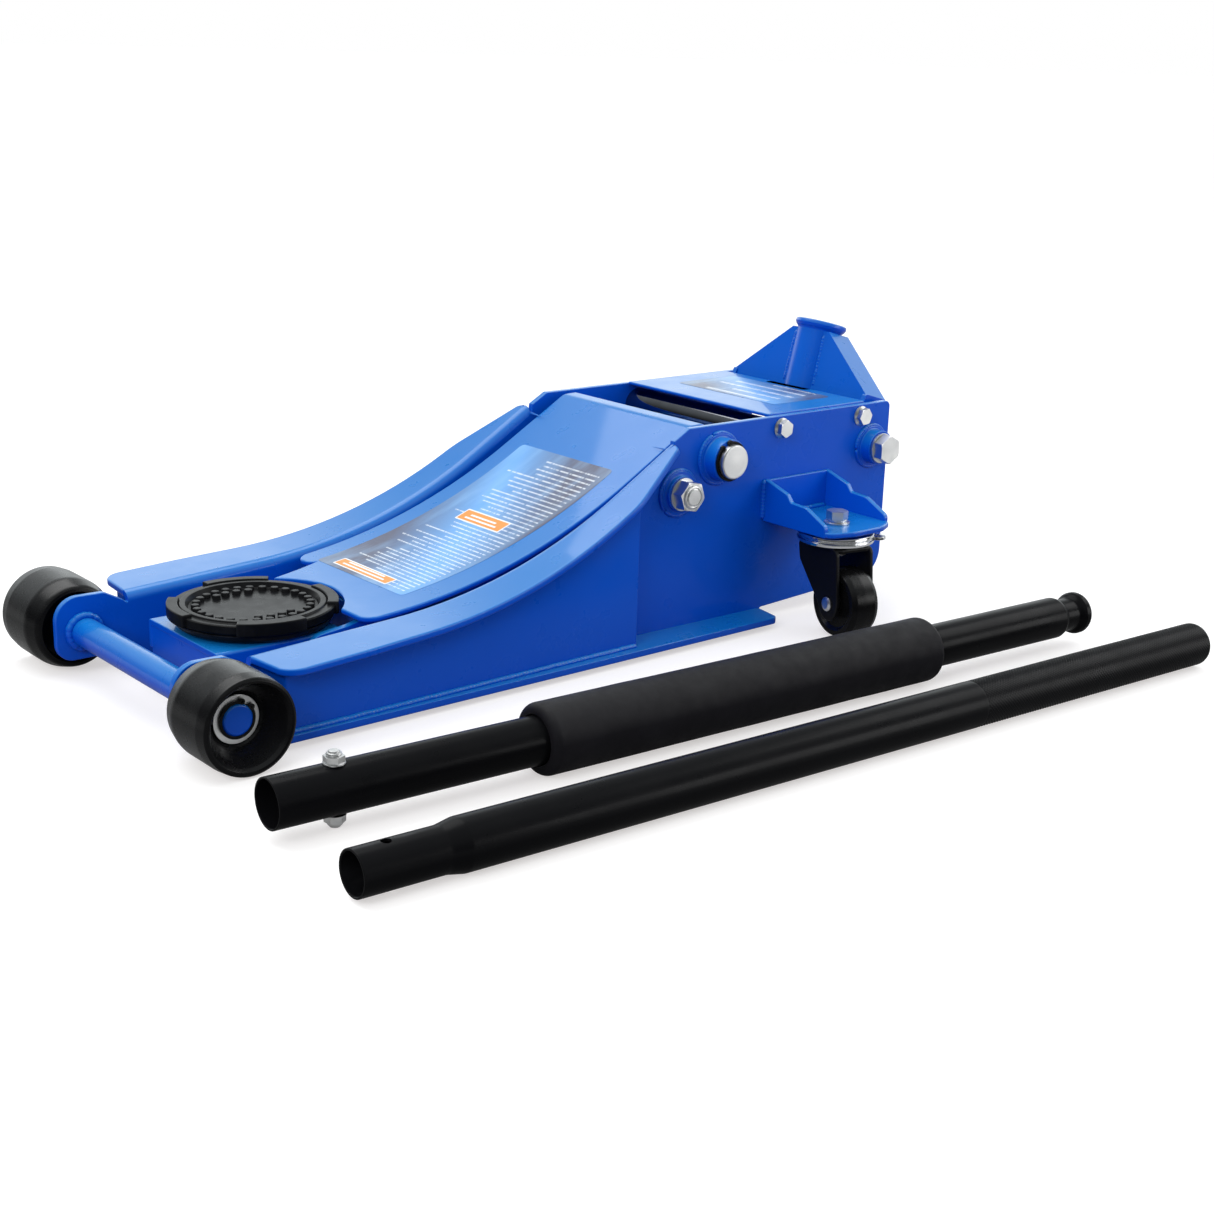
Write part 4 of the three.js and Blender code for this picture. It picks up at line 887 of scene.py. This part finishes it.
SHAFT_R, SHAFT_END = 15.0, 125.0
seat = SIDE_OUT + 2.8
for side in SIDES:
    sided("side_plate", side_plate(), side, "chassis", "blue", "frame_side")
    sided("top_flange", join(top_flange(), flange_roll()), side, "chassis", "blue")
    sided("base_flange", base_flange(), side, "chassis", "blue")
    bosses = [
        boss(PIVOT, [(22, seat), (18.8, 118)]), boss(LINK, [(19.5, seat), (15.5, 109)]),
        boss(YOKE, [(19, seat), (16, 116)]), boss((0, WHEEL_R), [(16, 108.7)]),
    ]
    rims = [ring_bead(*at, r, SIDE_OUT + 0.6, radius=size)
            for at, r, size in ((PIVOT, 22.4, 2.0), (LINK, 19.9, 1.9), (YOKE, 19.4, 1.9))]
    sided("weld_bosses", join(*bosses, *rims), side, "chassis", "blue")
    dress(f"skirt_{side[0]}", "blue")
    sided("skirt_weld", skirt_welds(), side, "chassis", "blue", smooth=60)
    sided("axle_weld", axle_welds(), side, "chassis", "blue", smooth=60)
    sided("shelf", caster_bracket(), side, "chassis", "blue", "caster_bracket")
    sided("shelf_weld", bracket_welds(), side, "chassis", "blue", smooth=60)
    sided("shaft_clip", circlip(PIVOT, 118.1, SHAFT_R + 0.1), side, "chassis", "black", "pivot_clip")
    sided("link_nut", hex_bolt(LINK, 109.1, 24, 11.5, 14.5, 0.2, nut=True, shank=8), side,
          "chassis", "zinc", "link_bolt")
    sided("yoke_screw", hex_bolt(YOKE, 116.1, 23.5, 10, 14, 0.5), side, "chassis", "zinc", "yoke_bolt")
    for where, at in zip(("front", "rear"), DECK_BOLTS):
        sided(f"cover_screw_{where}", flange_bolt(at, SIDE_OUT + 0.1), side, "chassis", "zinc",
              f"deck_bolt_{where}")

piece("axle_bar", pin((0, WHEEL_R), AXLE_R, AXLE_END, 2.0), "chassis", "blue", ["front_axle"])
piece("deck", deck_main(), "chassis", "blue", ["deck_cover"])
x0, x1, y0, y1 = DECK_LABEL
piece("deck_label", plate(oblong(x0, y0, x1, y1, 5), DECK_TOP + 0.05, DECK_TOP + 0.2, "xy", edge=0),
      "chassis", "deck_label")
piece("stay_tube", pin(CROSS, CROSS_R, SIDE_IN, segments=96), "chassis", "chrome", ["cross_tube"])
piece("arm_shaft", pin(PIVOT, SHAFT_R, SHAFT_END, 1.3, segments=96), "chassis", "zinc", ["pivot_shaft"])


# ---- power unit -----------------------------------------------------------------------------
def spring(node):
    wire, coil_r = 1.1, 9.2
    turns, steps = 5.5, 150
    x0, x1 = ends_mm(node)
    mid = centre_mm(node)
    around = arc(mid.y, mid.z, coil_r, 0, 2 * math.pi * turns, steps)
    path = [(x0 + wire + (x1 - x0 - 2 * wire) * i / steps, y, z) for i, (y, z) in enumerate(around)]
    return sweep(path, wire, 10)


def on_line_of(node, corners):
    """A solid turned about X on the centre line of a CAD node."""
    mid = centre_mm(node)
    return lathe(corners, (0, mid.y, mid.z), "x")


dress("pump_block", "cast")
dress("release_valve", "zinc", 0.4)
barrel = [(0, 560), (16.6, 560), (16.6, 556), (23, 556, 1), (24, 565, 2), (30, 565, 3), (30, 612), (0, 612)]
piece("ram_barrel", on_line_of("ram_cylinder", barrel), "chassis", "cast", ["ram_cylinder"])
face = ends_mm("ram_rod")[0]
rod = [(0, face), (16, face, 1), (17, face + 2, 1), (17, face + 9, 1), (16, face + 11), (16, 640), (0, 640)]
piece("ram_piston", on_line_of("ram_rod", rod), "ram", "polished", ["ram_rod"])
for tag, _ in SIDES:
    node = f"plunger_{tag}"
    a, b = ends_mm(node)
    plunger = [(0, a), (7, a), (7, b - 5), (11.5, b - 5, 0.5), (11.5, b, 1.2), (0, b)]
    piece(f"pump_plunger_{tag}", on_line_of(node, plunger), "plungers", "polished", [node])
    node = f"plunger_spring_{tag}"
    coil = piece(f"return_spring_{tag}", spring(node), "chassis", "zinc", [node], smooth=60)
    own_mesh(coil)


# ---- lift arm -------------------------------------------------------------------------------
cover_top = [tuple(p) for p in rounded(COVER_RUN, closed=False, chord=0.04)]


def cover_plan():
    r = 71.4
    x0, x1 = COVER_RUN[0][0], COVER_RUN[-1][0]
    meet = math.acos((x0 - SADDLE_X) / r)
    hollow = arc(SADDLE_X, 0, r, meet, -2 * meet, 36)
    back = rounded([(x1, -COVER_HALF), (x1, COVER_HALF), (x0, COVER_HALF, 13)])
    near = rounded([hollow[-1], (x0, -COVER_HALF, 13), (x0 + 60, -COVER_HALF)], closed=False)
    return back + hollow + near[1:-1]


def arm_plate():
    under = rounded(offset_run(COVER_RUN[:3], -COVER_T - 0.1), closed=False)
    top = [p for p in under if 164 < p[0] < 470]
    nose = rounded([
        (165, 62.5), (146, 58, 10), (110, 54, 14), (110, 26.5, 13), (158, 27, 40), (330, 64, 120),
        (470, 128, 30), (512, 133, 16), (524, 150, 16), (520, 174, 12), (486, 178, 4), (470, 174),
    ], closed=False)
    return plate(top + nose[::-1], 60, 66)


def arm_web():
    """Cross plate that ties the two arm plates together behind the saddle."""
    return plate(oblong(-60.5, 28, 60.5, 63), 170, 174, "yz", edge=0.6)


def crank_cheek():
    a = math.radians(30)
    dx, dz = math.sin(a), -math.cos(a)

    def at(along, side, r):
        return (PIVOT[0] + dx * along - dz * side, PIVOT[1] + dz * along + dx * side, r)

    corners = [at(-18, 18, 14), at(-18, -18, 14), at(20, -18, 10), at(72.8, -11, 10.5), at(72.8, 11, 10.5),
               at(20, 18, 10)]
    return plate(rounded(corners), 19, 27)


def link_rod():
    (x0, z0), (x1, z1) = LINK_PIN, LINK
    tilt = math.atan2(z1 - z0, x1 - x0)
    c, d = math.cos(tilt), math.sin(tilt)

    def at(x, z, along, side, r):
        return (x + along * c - side * d, z + along * d + side * c, r)

    small, big, h = 8.6, 13.0, 4.5
    corners = [
        at(x0, z0, -small, small, small - 0.2), at(x0, z0, small, small, 5), at(x0, z0, small + 6, h, 5),
        at(x1, z1, -big - 8, h, 6), at(x1, z1, -big + 2, big, 8), at(x1, z1, big, big, big - 0.3),
        at(x1, z1, big, -big, big - 0.3), at(x1, z1, -big + 2, -big, 8), at(x1, z1, -big - 8, -h, 6),
        at(x0, z0, small + 6, -h, 5), at(x0, z0, small, -small, 5), at(x0, z0, -small, -small, small - 0.2),
    ]
    return plate(rounded(corners), 72, 80)


def label_strip(x0, x1, y0, y1, lift, corner=4.0):
    """A thin sticker that follows the cover plate."""
    thickness = 0.12
    return sheet(cover_top, oblong(x0, y0, x1, y1, corner), thickness, lift=lift + thickness, edge=0)


def roller(node, r, half, pin_half, ease):
    """A roller between the ends of its 10 mm pin, on the centre line of a CAD node."""
    mid = centre_mm(node)
    return lathe(even([(r, half, 1), (5, half), (5, pin_half, ease), (0, pin_half)]), (mid.x, 0, mid.z))


piece("arm_cover_plate", sheet(cover_top, cover_plan(), COVER_T, edge=1.5), "lift_arm", "blue", ["arm_cover"])
sleeve = lathe(even([(20, 95.5, 0.8), (SHAFT_R + 0.4, 95.5)]), (PIVOT[0], 0, PIVOT[1]), closed=True)
cheeks = [mirrored(make(), sign) for make in (arm_plate, crank_cheek) for sign in (1, -1)]
beads = [ring_bead(*PIVOT, 21, y, radius=2.4) for y in (67, -67)]
piece("arm_plates", join(arm_web(), *cheeks, sleeve, *beads), "lift_arm", "blue", ["arm_frame"])
piece("arm_label", label_strip(*ARM_LABEL, 0.05), "lift_arm", "label")
for i, (x0, x1, y0, y1) in enumerate(((315, 331, -31, 31), (203, 216, -30, 50))):
    piece(f"label_panel_{i}", label_strip(x0, x1, y0, y1, 0.18, 1.0), "lift_arm", "white_print")
    fill = label_strip(x0 + 1.5, x1 - 1.5, y0 + 1.5, y1 - 1.5, 0.31, 0.6)
    piece(f"label_panel_fill_{i}", fill, "lift_arm", "orange_print")
    bars = [label_strip(x0 + 4 + 4.4 * k, x0 + 6 + 4.4 * k, y0 + 9 + 5 * k, y1 - 9 - 3 * k, 0.44, 0.4)
            for k in range(2)]
    piece(f"label_panel_bars_{i}", join(*bars), "lift_arm", "white_print")
piece("crank_roller", roller("ram_roller", 12, 18.7, 29, 0.5), "lift_arm", "zinc", ["ram_roller"])
piece("nose_pin", pin(FRONT_PIN, 7, 69, 1), "lift_arm", "zinc", ["front_pin"])
for side in SIDES:
    sided("level_link", link_rod(), side, "link_rods", "blue", "link_rod")


# ---- saddle ---------------------------------------------------------------------------------
def saddle_bracket():
    """A folded channel with a lobe on each side for the pins, closed at the front."""
    x0, x1 = BRACKET_X
    half, inside = BRACKET_HALF, BRACKET_HALF - 5
    channel = rounded([
        (-half, 29, 1), (-half, BRACKET_TOP, 3), (half, BRACKET_TOP, 3), (half, 29, 1), (inside, 29, 1),
        (inside, BRACKET_TOP - 5, 1), (-inside, BRACKET_TOP - 5, 1), (-inside, 29, 1),
    ])
    lobe = rounded([
        (62, 36), (58, 25, 6), (66, 6.2, 7.5), (90, 6.2, 7.5), (98, 22, 6), (134, 27, 8), (144, 36),
    ])
    lobes = [plate(lobe, s * (half - 4.7), s * (half - 0.3)) for s in (-1, 1)]
    front = plate(oblong(-inside - 1, 21, inside + 1, BRACKET_TOP - 4), x0 + 0.5, x0 + 5, "yz", edge=0.5)
    return join(plate(channel, x0, x1, "yz", edge=0.9), front, *lobes)


def saddle_disc():
    base = 60.1
    return lathe([
        (0, base), (62, base), (64.8, base + 2.4, 1.5), (64.8, 68.2, 0.8), (63.6, 69, 0.6), (58, 69, 0.8),
        (57, SADDLE_TOP, 0.8), (53, SADDLE_TOP, 0.8), (50.5, SADDLE_FLOOR, 1.0), (0, SADDLE_FLOOR),
    ], (SADDLE_X, 0, 0), "z", 144)


def saddle_lug(index):
    heading = math.radians(-16 + 90 * index)

    def edge(r, span):
        return arc(SADDLE_X, 0, r, heading - span / 2, span, 24)

    span = math.radians(50)
    return plate(edge(67.4, span - 0.03) + edge(58.5, span)[::-1], 61.2, SADDLE_TOP + 1, "xy", edge=1.1)


def stud(r, angle):
    top = SADDLE_FLOOR + 3.2
    return lathe([(0, SADDLE_FLOOR - 1), (3.5, SADDLE_FLOOR - 1), (3.3, top, 0.9), (0, top)],
                 (SADDLE_X + r * math.cos(angle), r * math.sin(angle), 0), "z", 20)


piece("saddle_carrier_bracket", saddle_bracket(), "saddle_carrier", "blue", ["saddle_bracket"])
piece("link_cross_pin", pin(LINK_PIN, 5, 84, 0.8), "saddle_carrier", "zinc", ["link_pin"])
dish = [
    (0, 33), (12, 33, 1), (13, 34), (13, 52.9), (56, 52.9, 1), (61, 55.4, 2), (63, 59, 1), (63, 60), (0, 60),
]
piece("saddle_dish", lathe(dish, (SADDLE_X, 0, 0), "z", 144), "saddle", "black", ["saddle_cup"])
pitch = 2 * math.pi / STUD_COUNT
studs = [stud(45, i * pitch) for i in range(STUD_COUNT)]
studs += [stud(36.5, side * math.pi / 2 + half * pitch * 1.2)
          for half in (0.5, 1.5, -0.5, -1.5) for side in (-1, 1)]
pad = join(saddle_disc(), *[saddle_lug(k) for k in range(4)], *studs)
piece("saddle_rubber_pad", pad, "saddle", "rubber", ["saddle_pad"])


# ---- handle yoke ----------------------------------------------------------------------------
tip = Matrix.Translation((YOKE[0], 0, YOKE[1])) @ Matrix.Rotation(LEAN, 4, "Y")


def socket_tube():
    z1 = 105.0
    return turned(lathe([
        (18.9, 32), (21.5, 32), (21.5, z1 - 8, 3), (23.6, z1 - 6.2, 1.5), (25, z1 - 3.6, 2),
        (24.4, z1 - 0.6, 1.2), (22.6, z1, 0.8), (20.4, z1, 0.8), (18.9, z1 - 1.8, 0.6),
    ], (SOCKET_OFFSET, 0, 0), "z", 96, closed=True), tip)


def socket_welds():
    runs = [bead([(-5.5, s * 19.5, 42), (-5.5, s * 18.5, 93)], 2.4, 3.0) for s in (-1, 1)]
    return turned(join(*runs), tip)


dress("yoke_frame", "blue", 0.9)
piece("socket", socket_tube(), "handle_yoke", "blue", ["handle_socket"])
piece("socket_weld", socket_welds(), "handle_yoke", "blue", smooth=60)
piece("yoke_roller", roller("pump_roller", 9, 84.7, 91, 0.6), "handle_yoke", "zinc", ["pump_roller"])


# ---- wheels and casters ---------------------------------------------------------------------
def front_wheel():
    return lathe([
        (12.3, HUB_FACE), (18.5, HUB_FACE, 1.0), (20.8, 152.4, 1.5), (30.4, 170.6, 2.0), (32.4, 173.4, 0.7),
        (34.0, 174.0, 0.9), (36.4, 172.6, 1.6), (WHEEL_R, 162, 20), (WHEEL_R, 126, 24), (33.4, 110.4, 7),
        (31, 109.7, 1), (28, 120, 1), (17, 120, 1), (17, 109.7, 0.5), (12.3, 109.7),
    ], (0, 0, WHEEL_R), "y", 128, closed=True)


def wheel_washer():
    y = HUB_FACE + 0.1
    ring = [(12.4, y), (18.3, y, 0.3), (18.3, y + 1.7, 0.4), (12.4, y + 1.7, 0.3)]
    return lathe(ring, (0, 0, WHEEL_R), closed=True)


def swung(bm):
    """Turns a caster piece drawn trailing to the front to its rest heading, on the left side."""
    centre = Matrix.Translation((CASTER_X, CASTER_Y, 0))
    return turned(bm, centre @ Matrix.Rotation(CASTER_SWING, 4, "Z") @ centre.inverted())


def caster_race():
    a, b = 82.0, CASTER_FLOOR - 0.3
    return lathe([
        (6.3, a), (30, a, 1), (33.5, a + 1.8, 1), (34.6, a + 4.2, 0.8), (32.4, a + 5.6, 0.8),
        (34, a + 7.2, 1), (33.2, a + 9.6, 1.2), (28, b, 1), (6.3, b),
    ], (CASTER_X, CASTER_Y, 0), "z", 96, closed=True)


def race_tab():
    """Small lug with a hole that stands out of the swivel race."""
    spot = (CASTER_X - 18.5, CASTER_Y + 32, 0)
    return lathe([(2.2, 85.4), (7.4, 85.4, 0.5), (7.4, 88.6, 0.5), (2.2, 88.6)], spot, "z", 32, closed=True)


def caster_fork():
    x, y = CASTER_X, CASTER_Y
    crown = plate(oblong(x - 29, y - 20, x + 29, y + 20, 8), 78.2, 81.7, "xy", edge=1.0)
    outline = rounded([
        (x - 29, 81.7, 6), (x + 29, 81.7, 6), (x + 25, 62, 10), (CASTER_AXLE_X + 15, 30, 14),
        (CASTER_AXLE_X + 6, 16, 12), (CASTER_AXLE_X - 10, 17, 12), (CASTER_AXLE_X - 14, 34, 14),
    ])
    legs = [plate(outline, y + k * 16.5, y + k * 20, "xz", edge=1.0) for k in (-1, 1)]
    return join(crown, *legs)


def caster_wheel():
    far_end = [
        (31.1, 9.5, 2.5), (29, 14, 1.2), (24.6, 14, 0.6), (22, 11, 1), (9, 11, 0.8), (9, 15, 0.8), (4.3, 15),
    ]
    profile = even(far_end, [(CASTER_R, 0, 30)])
    return lathe(profile, (CASTER_AXLE_X, CASTER_Y, CASTER_R), "y", 96, closed=True)


def caster_rivet():
    far_end = [(4, 20.1), (6.4, 20.1), (6.4, 21.2, 0.8), (4.2, 22.6, 0.6), (0, 22.6)]
    return lathe(even(far_end), (CASTER_AXLE_X, CASTER_Y, CASTER_R), "y", 48)


def caster_bolt():
    seat = CASTER_FLOOR + 5.1
    x, y = CASTER_X, CASTER_Y
    stem = lathe([
        (0, 70.2), (6, 70.2, 0.8), (6, seat), (11.5, seat, 0.3), (11.5, seat + 1.8, 0.4), (9.2, seat + 1.8),
        (9.2, seat + 4.0, 0.4), (0, seat + 4.0),
    ], (x, y, 0), "z")
    head = turned(hex_head(17, 7.6), Matrix.Translation((x, y, seat + 3.9)) @ Matrix.Rotation(0.75, 4, "Z"))
    keeper = turned(hex_head(18, 5.4), Matrix.Translation((x, y, 70.4)))
    return join(stem, head, keeper)


for side in SIDES:
    where = {"R": "right", "L": "left"}[side[0]]
    caster = f"caster_{where}"
    sided("roller", front_wheel(), side, f"wheel_front_{where}", "nylon", "wheel_front")
    sided("roller_washer", wheel_washer(), side, "chassis", "zinc", "wheel_washer")
    sided("roller_clip", circlip((0, WHEEL_R), HUB_FACE + 2.0, 12.1, 2.2, 55), side, "chassis", "black")
    sided("swivel_race", swung(join(caster_race(), race_tab())), side, caster, "bright", "caster_race")
    sided("swivel_fork", swung(caster_fork()), side, caster, "black", "caster_fork")
    sided("swivel_rivet", swung(caster_rivet()), side, caster, "zinc", "caster_axle")
    sided("swivel_wheel", swung(caster_wheel()), side, f"caster_wheel_{where}", "nylon", "caster_wheel")
    sided("swivel_bolt", caster_bolt(), side, "chassis", "zinc", "caster_bolt")


# ---- handle ---------------------------------------------------------------------------------
def laid(bm, ends, height):
    """Drawn along +X from zero, then laid between two points on the ground."""
    (x0, y0), (x1, y1) = ends
    turn = math.atan2(y1 - y0, x1 - x0)
    return turned(bm, Matrix.Translation((x0, y0, height)) @ Matrix.Rotation(turn, 4, "Z"))


def length(ends):
    return (Vector(ends[1]) - Vector(ends[0])).length


def lower_tube():
    end = length(LOWER_ENDS)
    return lathe([
        (LOWER_BORE, 0.6), (LOWER_BORE + 0.5, 0), (LOWER_R, 0, 0.5), (LOWER_R, end - 34, 3),
        (LOWER_R - 1, end - 31, 2), (14.4, end - 28, 3), (14.4, end - 13, 3), (17.2, end - 10, 2),
        (18.4, end - 7, 2), (18.4, end - 3, 2),
        (17, end, 1.4), (9, end, 1), (9, end - 36), (LOWER_BORE, end - 42),
    ], (0, 0, 0), "x", 96, closed=True)


def foam_sleeve():
    a, b = FOAM_S
    bm = lathe([
        (LOWER_R + 0.1, a + 1.5), (LOWER_R + 1.2, a, 0.8), (FOAM_R, a, 6.5), (FOAM_R, b, 6.5),
        (LOWER_R + 1.2, b, 0.8), (LOWER_R + 0.1, b - 1.5),
    ], (0, 0, 0), "x", 120, closed=True)
    for k in range(1, 90):
        split_at(bm, a + 8 + (b - a - 16) * k / 90)
    for v in bm.verts:
        r = math.hypot(v.co.y, v.co.z)
        if r > LOWER_R + 2:
            dent = 0.22 * noise.noise(v.co * 0.03) + 0.03 * noise.noise(v.co * 0.35)
            scale = (r - 0.2 + dent) / r
            v.co.y *= scale
            v.co.z *= scale
    return bm


def cross_bolt():
    """Machine screw through the tube with a lock nut on each side."""
    end = LOWER_R + 9
    parts = [lathe(even([(4, end, 0.8), (0, end)]), (BOLT_S, 0, 0), "z", 32)]
    cap = [(0, 5), (5.4, 5), (5.4, 7.4, 1.4), (4.3, 8, 0.4), (0, 8)]
    washer = [(0, 0), (7.8, 0), (7.8, 1.0, 0.3), (0, 1.0)]
    for s, flip in ((1, 0), (-1, math.pi)):
        spot = Matrix.Translation((BOLT_S, 0, s * (LOWER_R - 0.2))) @ Matrix.Rotation(flip, 4, "X")
        parts.append(turned(hex_head(13, 5.6, 0.95), spot @ Matrix.Rotation(0.4, 4, "Z")))
        parts += [turned(lathe(corners, axis="z", segments=40), spot) for corners in (cap, washer)]
    return join(*parts)


KNURL_S = 548.0
KNURL_PITCH = 3.0
KNURL_COUNT = 38
KNURL_DEPTH = 0.36
HOLE_S, HOLE_R = 24.0, 3.6


def upper_tube():
    inner = SWAGE_R - 1.8
    end = KNURL_S + 0.5
    tube = lathe([
        (inner, 0.6), (inner + 0.5, 0), (SWAGE_R, 0, 0.6), (SWAGE_R, 63, 14), (UPPER_R, 76, 14),
        (UPPER_R, end - 3), (UPPER_R - 0.3, end), (UPPER_BORE, end), (UPPER_BORE, 79), (inner, 64),
    ], (0, 0, 0), "x", 96, closed=True)
    drill = lathe([(0, -30), (HOLE_R, -30), (HOLE_R, 30), (0, 30)], (HOLE_S, 0, 0), "z", 32)
    return cut(tube, drill)


def knurled_end():
    """The knurled length of the upper handle: two crossing spiral cuts leave raised diamonds."""
    end = length(UPPER_ENDS)
    around = KNURL_COUNT * 4
    step = KNURL_PITCH / 4
    rows = int((end - 4 - KNURL_S) / step)

    def tooth(i, row):
        a, b = (abs(((i + turn * row) / 4 % 1.0) * 2 - 1) for turn in (1, -1))
        return UPPER_R - KNURL_DEPTH * (1.0 - min(1.0, 1.5 * min(a, b)))

    start = [(UPPER_BORE, KNURL_S), (UPPER_R - 0.3, KNURL_S)]
    close = [(UPPER_R - 0.1, end - 3.6), (UPPER_R - 0.2, end - 2.4), (UPPER_R - 0.8, end - 0.8),
             (UPPER_R - 1.4, end - 0.2), (UPPER_BORE + 0.3, end - 0.1), (UPPER_BORE, end - 0.6)]
    profile = [([r] * around, x) for r, x in start]
    profile += [([tooth(i, row) for i in range(around)], KNURL_S + row * step) for row in range(1, rows)]
    profile += [([r] * around, x) for r, x in close]
    angles = [2 * math.pi * i / around for i in range(around)]
    bm = bmesh.new()
    rings = [[bm.verts.new((x, r * math.cos(t), r * math.sin(t))) for r, t in zip(radii, angles)]
             for radii, x in profile]
    return wrap(bm, rings, loop=True)


for name, bm, look, node, smooth in (
    ("lower_tube", lower_tube(), "tube", "handle_lower_tube", 32),
    ("foam_sleeve", foam_sleeve(), "foam", "foam_grip", 50),
    ("cross_screw", cross_bolt(), "zinc", "handle_bolt", 32),
):
    piece(name, laid(bm, LOWER_ENDS, FOAM_R), "handle_lower", look, [node], smooth)
piece("upper_tube", laid(upper_tube(), UPPER_ENDS, UPPER_R), "handle_upper", "tube", ["handle_upper_tube"])
piece("upper_tube_knurl", laid(knurled_end(), UPPER_ENDS, UPPER_R), "handle_upper", "tube", smooth=20)


# ---- floor, light and camera ----------------------------------------------------------------
SKY_LOW, SKY_HIGH = 0.06, 1.00      # a studio lit from overhead, dim at eye level
SKY_SHEEN = 0.35                    # how much of the overhead light shows in reflections
BACKDROP = 1.30                     # and with a bright wall behind the object
AWAY = (0.6436, 0.7653, 0.0)        # the way the camera faces, along the ground
JACK_MIDDLE = (0.35, 0, 0.1)


def studio():
    """A world that is white to the camera, and lights the object from overhead and from a bright wall."""
    scene = bpy.context.scene
    scene.view_settings.view_transform = "Standard"
    scene.world = bpy.data.worlds.new("studio")
    n = Nodes(scene.world)
    seen = n.tree.nodes["Background"]
    n.fill(seen, {"Color": (1, 1, 1), "Strength": 1.0})
    heading = n.add("ShaderNodeTexCoord").outputs["Generated"]
    height = n.split(heading)[2]
    facing = n.add("ShaderNodeVectorMath", {0: heading, 1: AWAY}, operation="DOT_PRODUCT").outputs["Value"]
    rays = n.add("ShaderNodeLightPath").outputs

    def ramp(*values):
        return n.spread(*values, curve="SMOOTHSTEP")

    overhead = n.math("MULTIPLY", ramp(height, 0.12, 0.75, SKY_LOW, SKY_HIGH),
                      ramp(rays["Is Glossy Ray"], 0.0, 1.0, 1.0, SKY_SHEEN))
    wall = n.math("MULTIPLY", ramp(facing, 0.25, 0.80, 0.0, BACKDROP), ramp(height, 0.28, 0.58, 1.0, 0.0))
    strength = n.math("ADD", overhead, wall)
    lit = n.add("ShaderNodeBackground", {"Color": (0.93, 0.985, 1.0), "Strength": strength})
    pick = n.add("ShaderNodeMixShader", {0: rays["Is Camera Ray"], 1: lit.outputs[0], 2: seen.outputs[0]})
    n.fill(n.tree.nodes["World Output"], {"Surface": pick.outputs[0]})


def floor_paper():
    """Pale paper that looks evenly lit, and throws little light back up on the object."""
    n = material_nodes("floor_paper")
    shade = n.mix(n.spread(n.noise(2.0, 3.0), 0.3, 0.7), (0.56, 0.56, 0.56), (0.54, 0.54, 0.54))
    rays = n.add("ShaderNodeLightPath").outputs
    seen = rays["Is Camera Ray"]
    glow = n.math("MULTIPLY_ADD", seen, 0.56, n.math("MULTIPLY", rays["Is Glossy Ray"], 0.14))
    return n.done(n.mix(seen, (0.32, 0.32, 0.32), shade), 0.9, specular=0.0,
                  **{"Emission Color": (1.0, 0.965, 0.955), "Emission Strength": glow})


def ground():
    mesh = bpy.data.meshes.new("floor")
    half = 60.0
    z = ORIGIN.z - 0.0004
    corners = [(-half, -half, z), (half, -half, z), (half, half, z), (-half, half, z)]
    mesh.from_pydata(corners, [], [(0, 1, 2, 3)])
    floor = bpy.data.objects.new("floor", mesh)
    bpy.context.scene.collection.objects.link(floor)
    mesh.materials.append(floor_paper())


def softbox(name, spot, size, power):
    """A rectangular light this far from the ground point, aimed at the middle of the jack."""
    light = bpy.data.lights.new(name, "AREA")
    light.shape = "RECTANGLE"
    light.size, light.size_y = size
    light.energy = power
    obj = bpy.data.objects.new(name, light)
    bpy.context.scene.collection.objects.link(obj)
    obj.location = ORIGIN + Vector(spot)
    obj.rotation_mode = "QUATERNION"
    obj.rotation_quaternion = (Vector(JACK_MIDDLE) - Vector(spot)).to_track_quat("-Z", "Y")
    return obj


CAMERA_SPOT = Vector((-0.5916, -1.2566, 0.4992))
CAMERA_TURN = tuple(math.radians(v) for v in (-40.064, 16.843, 1.657))
CAMERA_LENS = 55.11


def camera():
    azimuth, elevation, roll = CAMERA_TURN
    back = Vector((math.sin(azimuth) * math.cos(elevation), -math.cos(azimuth) * math.cos(elevation),
                   math.sin(elevation)))
    right = (-back).cross(Vector((0, 0, 1))).normalized()
    up = right.cross(-back)
    turned_right = right * math.cos(roll) + up * math.sin(roll)
    turned_up = up * math.cos(roll) - right * math.sin(roll)
    data = bpy.data.cameras.new("camera")
    data.lens = CAMERA_LENS
    data.sensor_width = 36.0
    data.clip_start = 0.05
    obj = bpy.data.objects.new("camera", data)
    axes = Matrix((turned_right, turned_up, back)).transposed().to_4x4()
    obj.matrix_world = Matrix.Translation(ORIGIN + CAMERA_SPOT) @ axes
    bpy.context.scene.collection.objects.link(obj)
    bpy.context.scene.camera = obj


studio()
ground()
softbox("key", (0.1, 0.9, 2.2), (2.4, 1.8), 26)
softbox("fill", (-2.3, -1.3, 1.7), (1.6, 1.4), 42).visible_glossy = False
softbox("rim", (1.9, -0.6, 1.2), (1.0, 0.8), 5)
softbox("low", (1.9, -1.9, 0.4), (1.6, 0.8), 13)
camera()
